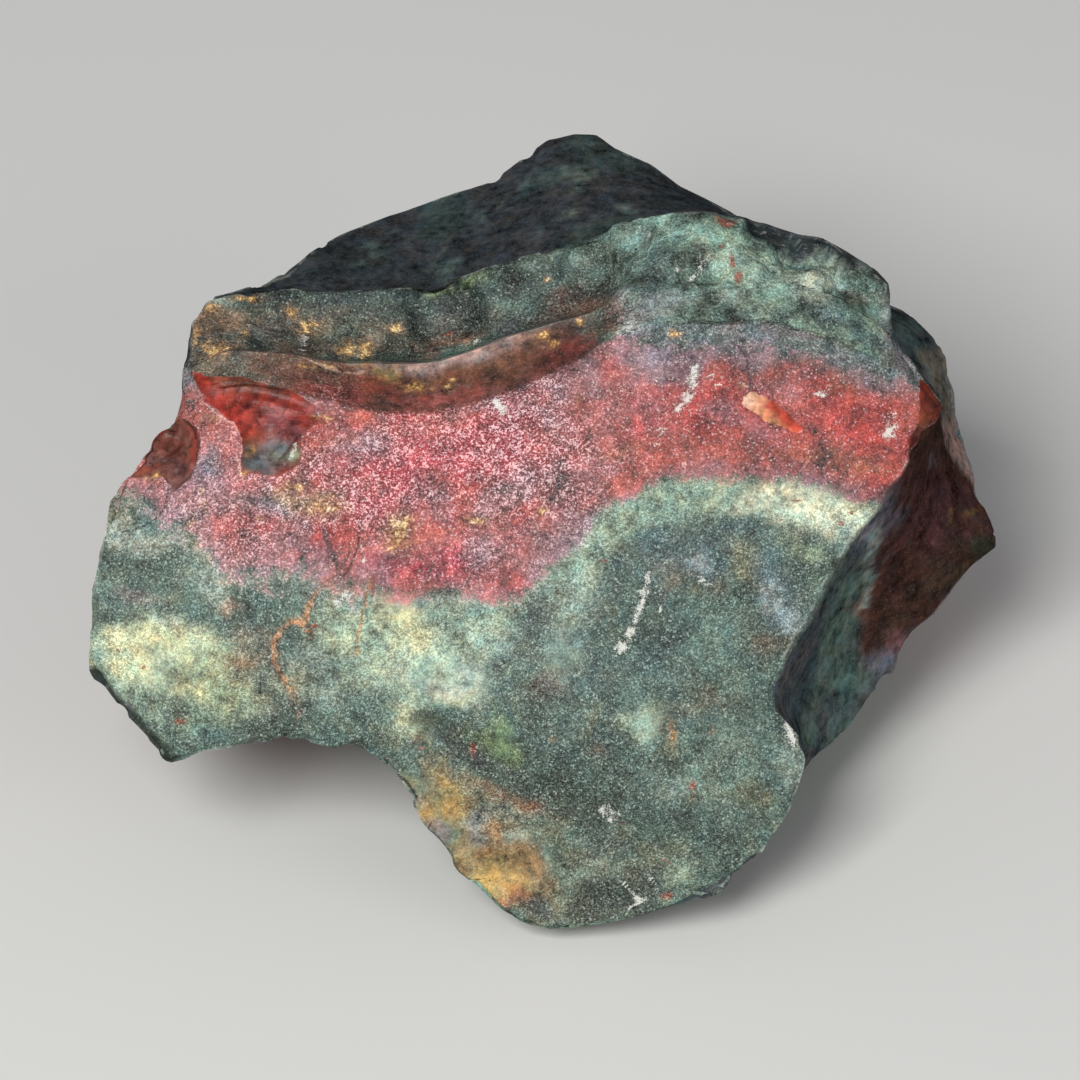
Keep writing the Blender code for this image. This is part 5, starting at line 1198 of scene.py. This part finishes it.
# painted shade in the pits
pitShade = node("Math", 0, (node("Math", 0, (pitShade, told), **times), chalcedony["pitShade"], 1.0), **timesPlus)
tone = node("VectorMath", "Vector", {0: tone, "Scale": pitShade}, **scaled)
glint = node("Math", 0, (node("Math", 0, (glint, dull), **times), chalcedony["glint"]), **times)
white = node("Math", 0, (finest, 0.7), **times)
for source, weight in ((finer, 0.6), (grainTone, 0.26), (read["frost"], 0.26), (medium, 0.6)):
    white = node("Math", 0, (source, weight, white), **timesPlus)
white = node("MapRange", 0, (white, 0.22, 0.32), **smooth)
white = node("Math", 0, (white, node("Math", 0, (read["frost"], 0.5, 0.25), **timesPlus)), **times)
white = node("Math", 0, (white, node("MapRange", 0, (dull, 0.15, 0.75))), **times)
# pale edges: partly real rubbing, partly painted light glowing through the thin edges
wearAndEdgeGlow = node("Math", 0, (medium, 0.9, read["edge"]), **timesPlus)
wearAndEdgeGlow = node("MapRange", 0, (wearAndEdgeGlow, 0.22, -0.1, 0.0, chalcedony["wearAndEdgeGlow"]), **smooth)
bruise = node("Math", 0, (ragged, 1.8, read["bruise"]), **timesPlus)
bruise = node("Math", 0, (finest, 1.5, bruise), **timesPlus)
bruise = node("MapRange", 0, (bruise, 0.5, 0.95, 0.0, chalcedony["crushed"]), **smooth)
for share, colour in ((glint, frostColour), (white, frostColour), (wearAndEdgeGlow, rgba(chalcedony["wearAndEdgeGlowColour"])),
                      (bruise, rgba(chalcedony["crushedStone"]))):
    tone = node("Mix", 2, {0: share, 6: tone, 7: colour}, **inColour)
tree.links.new(tone, shader.inputs["Base Color"])

# every grain is a facet tipped its own way, which is what sparkles; the scars are smooth
tip = node("VectorMath", "Vector", (grain, (0.5, 0.5, 0.5)), **minus)
tilt = node("Math", 0, (dull, chalcedony["tilt"]), **times)
tip = node("VectorMath", "Vector", {0: tip, "Scale": tilt}, **scaled)
facet = node("VectorMath", "Vector", (node("NewGeometry", "Normal", {}), tip), **plus)
facet = node("VectorMath", "Vector", (facet,), operation="NORMALIZE")
rise = node("Math", 0, (medium, 1.2, finer), **timesPlus)
rise = node("Math", 0, (rise, node("Math", 0, (dull, 0.85, 0.15), **timesPlus)), **times)
for source, weight in ((wave, 0.14), (bruise, -0.4), (cragRelief, 5.5)):
    rise = node("Math", 0, (source, weight, rise), **timesPlus)
relief = {"Strength": 0.8, "Distance": chalcedony["reliefDepth"] * mm, "Height": rise, "Normal": facet}
relief = node("Bump", "Normal", relief)
tree.links.new(relief, shader.inputs["Normal"])
gloss = node("MapRange", 0, (dull, 0.0, 1.0, chalcedony["sleekRoughness"], chalcedony["dullRoughness"]))
gloss = node("Math", 0, (node("Math", 0, (coarse, finer)), 0.12, gloss), **timesPlus)
tree.links.new(gloss, shader.inputs["Roughness"])
shader.inputs["IOR"].default_value = chalcedony["index"]
sheen = node("MapRange", 0, (onScar, 0.0, 1.0, chalcedony["sheen"], chalcedony["scarSheen"]))
sheen = node("MapRange", 0, (read["flank"], 0.0, 1.0, sheen, chalcedony["flankSheen"]))
shader.inputs["Specular IOR Level"].default_value = chalcedony["sheen"]
tree.links.new(sheen, shader.inputs["Specular IOR Level"])
mesh.materials.append(material)

studio = {
    "floor": "#d2d1cd",
    "floorGap": 0.2,  # mm under the foot
    "floorSize": 6000.0,  # mm
    "distance": 700.0,  # mm from the face's middle to the camera
    "sensor": 36.0,
    "lens": 280.0,
    "lamps": {  # place in mm, size in mm, power in W
        "keyLight": ((-250, -550, 650), 350, 7.5),
        "fillLight": ((600, -500, 350), 500, 1.6),
    },
    "skyColour": "#f3f6ff",
    "skyStrength": 0.24,
}
print("studio: floor, lights and camera")
bpy.ops.mesh.primitive_plane_add(size=studio["floorSize"] * mm, location=(0, 0, -studio["floorGap"] * mm))
floor = bpy.context.object
floor.name = "studioFloor"
floorPaint = bpy.data.materials.new("matPalePaint")
floorPaint.use_nodes = True
floorPaint.node_tree.nodes["Principled BSDF"].inputs["Base Color"].default_value = rgba(studio["floor"])
floorPaint.node_tree.nodes["Principled BSDF"].inputs["Roughness"].default_value = 0.8
floor.data.materials.append(floorPaint)

aim = Vector(stone["faceMiddle"]) * mm
camera = bpy.data.objects.new("camera", bpy.data.cameras.new("camera"))
camera.data.sensor_width = studio["sensor"]
camera.data.lens = studio["lens"]
camera.location = aim - Vector(intoStone) * studio["distance"] * mm
camera.rotation_euler = Euler((math.pi / 2 - stone["lean"], 0, 0))
bpy.context.scene.collection.objects.link(camera)
bpy.context.scene.camera = camera
for name, (place, size, power) in studio["lamps"].items():
    lamp = bpy.data.objects.new(name, bpy.data.lights.new(name, "AREA"))
    lamp.data.size = size * mm
    lamp.data.energy = power
    lamp.location = Vector(place) * mm
    lamp.rotation_euler = (aim - lamp.location).to_track_quat("-Z", "Y").to_euler()
    bpy.context.scene.collection.objects.link(lamp)
world = bpy.data.worlds.new("studio")
world.use_nodes = True
world.node_tree.nodes["Background"].inputs["Color"].default_value = rgba(studio["skyColour"])
world.node_tree.nodes["Background"].inputs["Strength"].default_value = studio["skyStrength"]
bpy.context.scene.world = world
bpy.context.scene.view_settings.view_transform = "Standard"
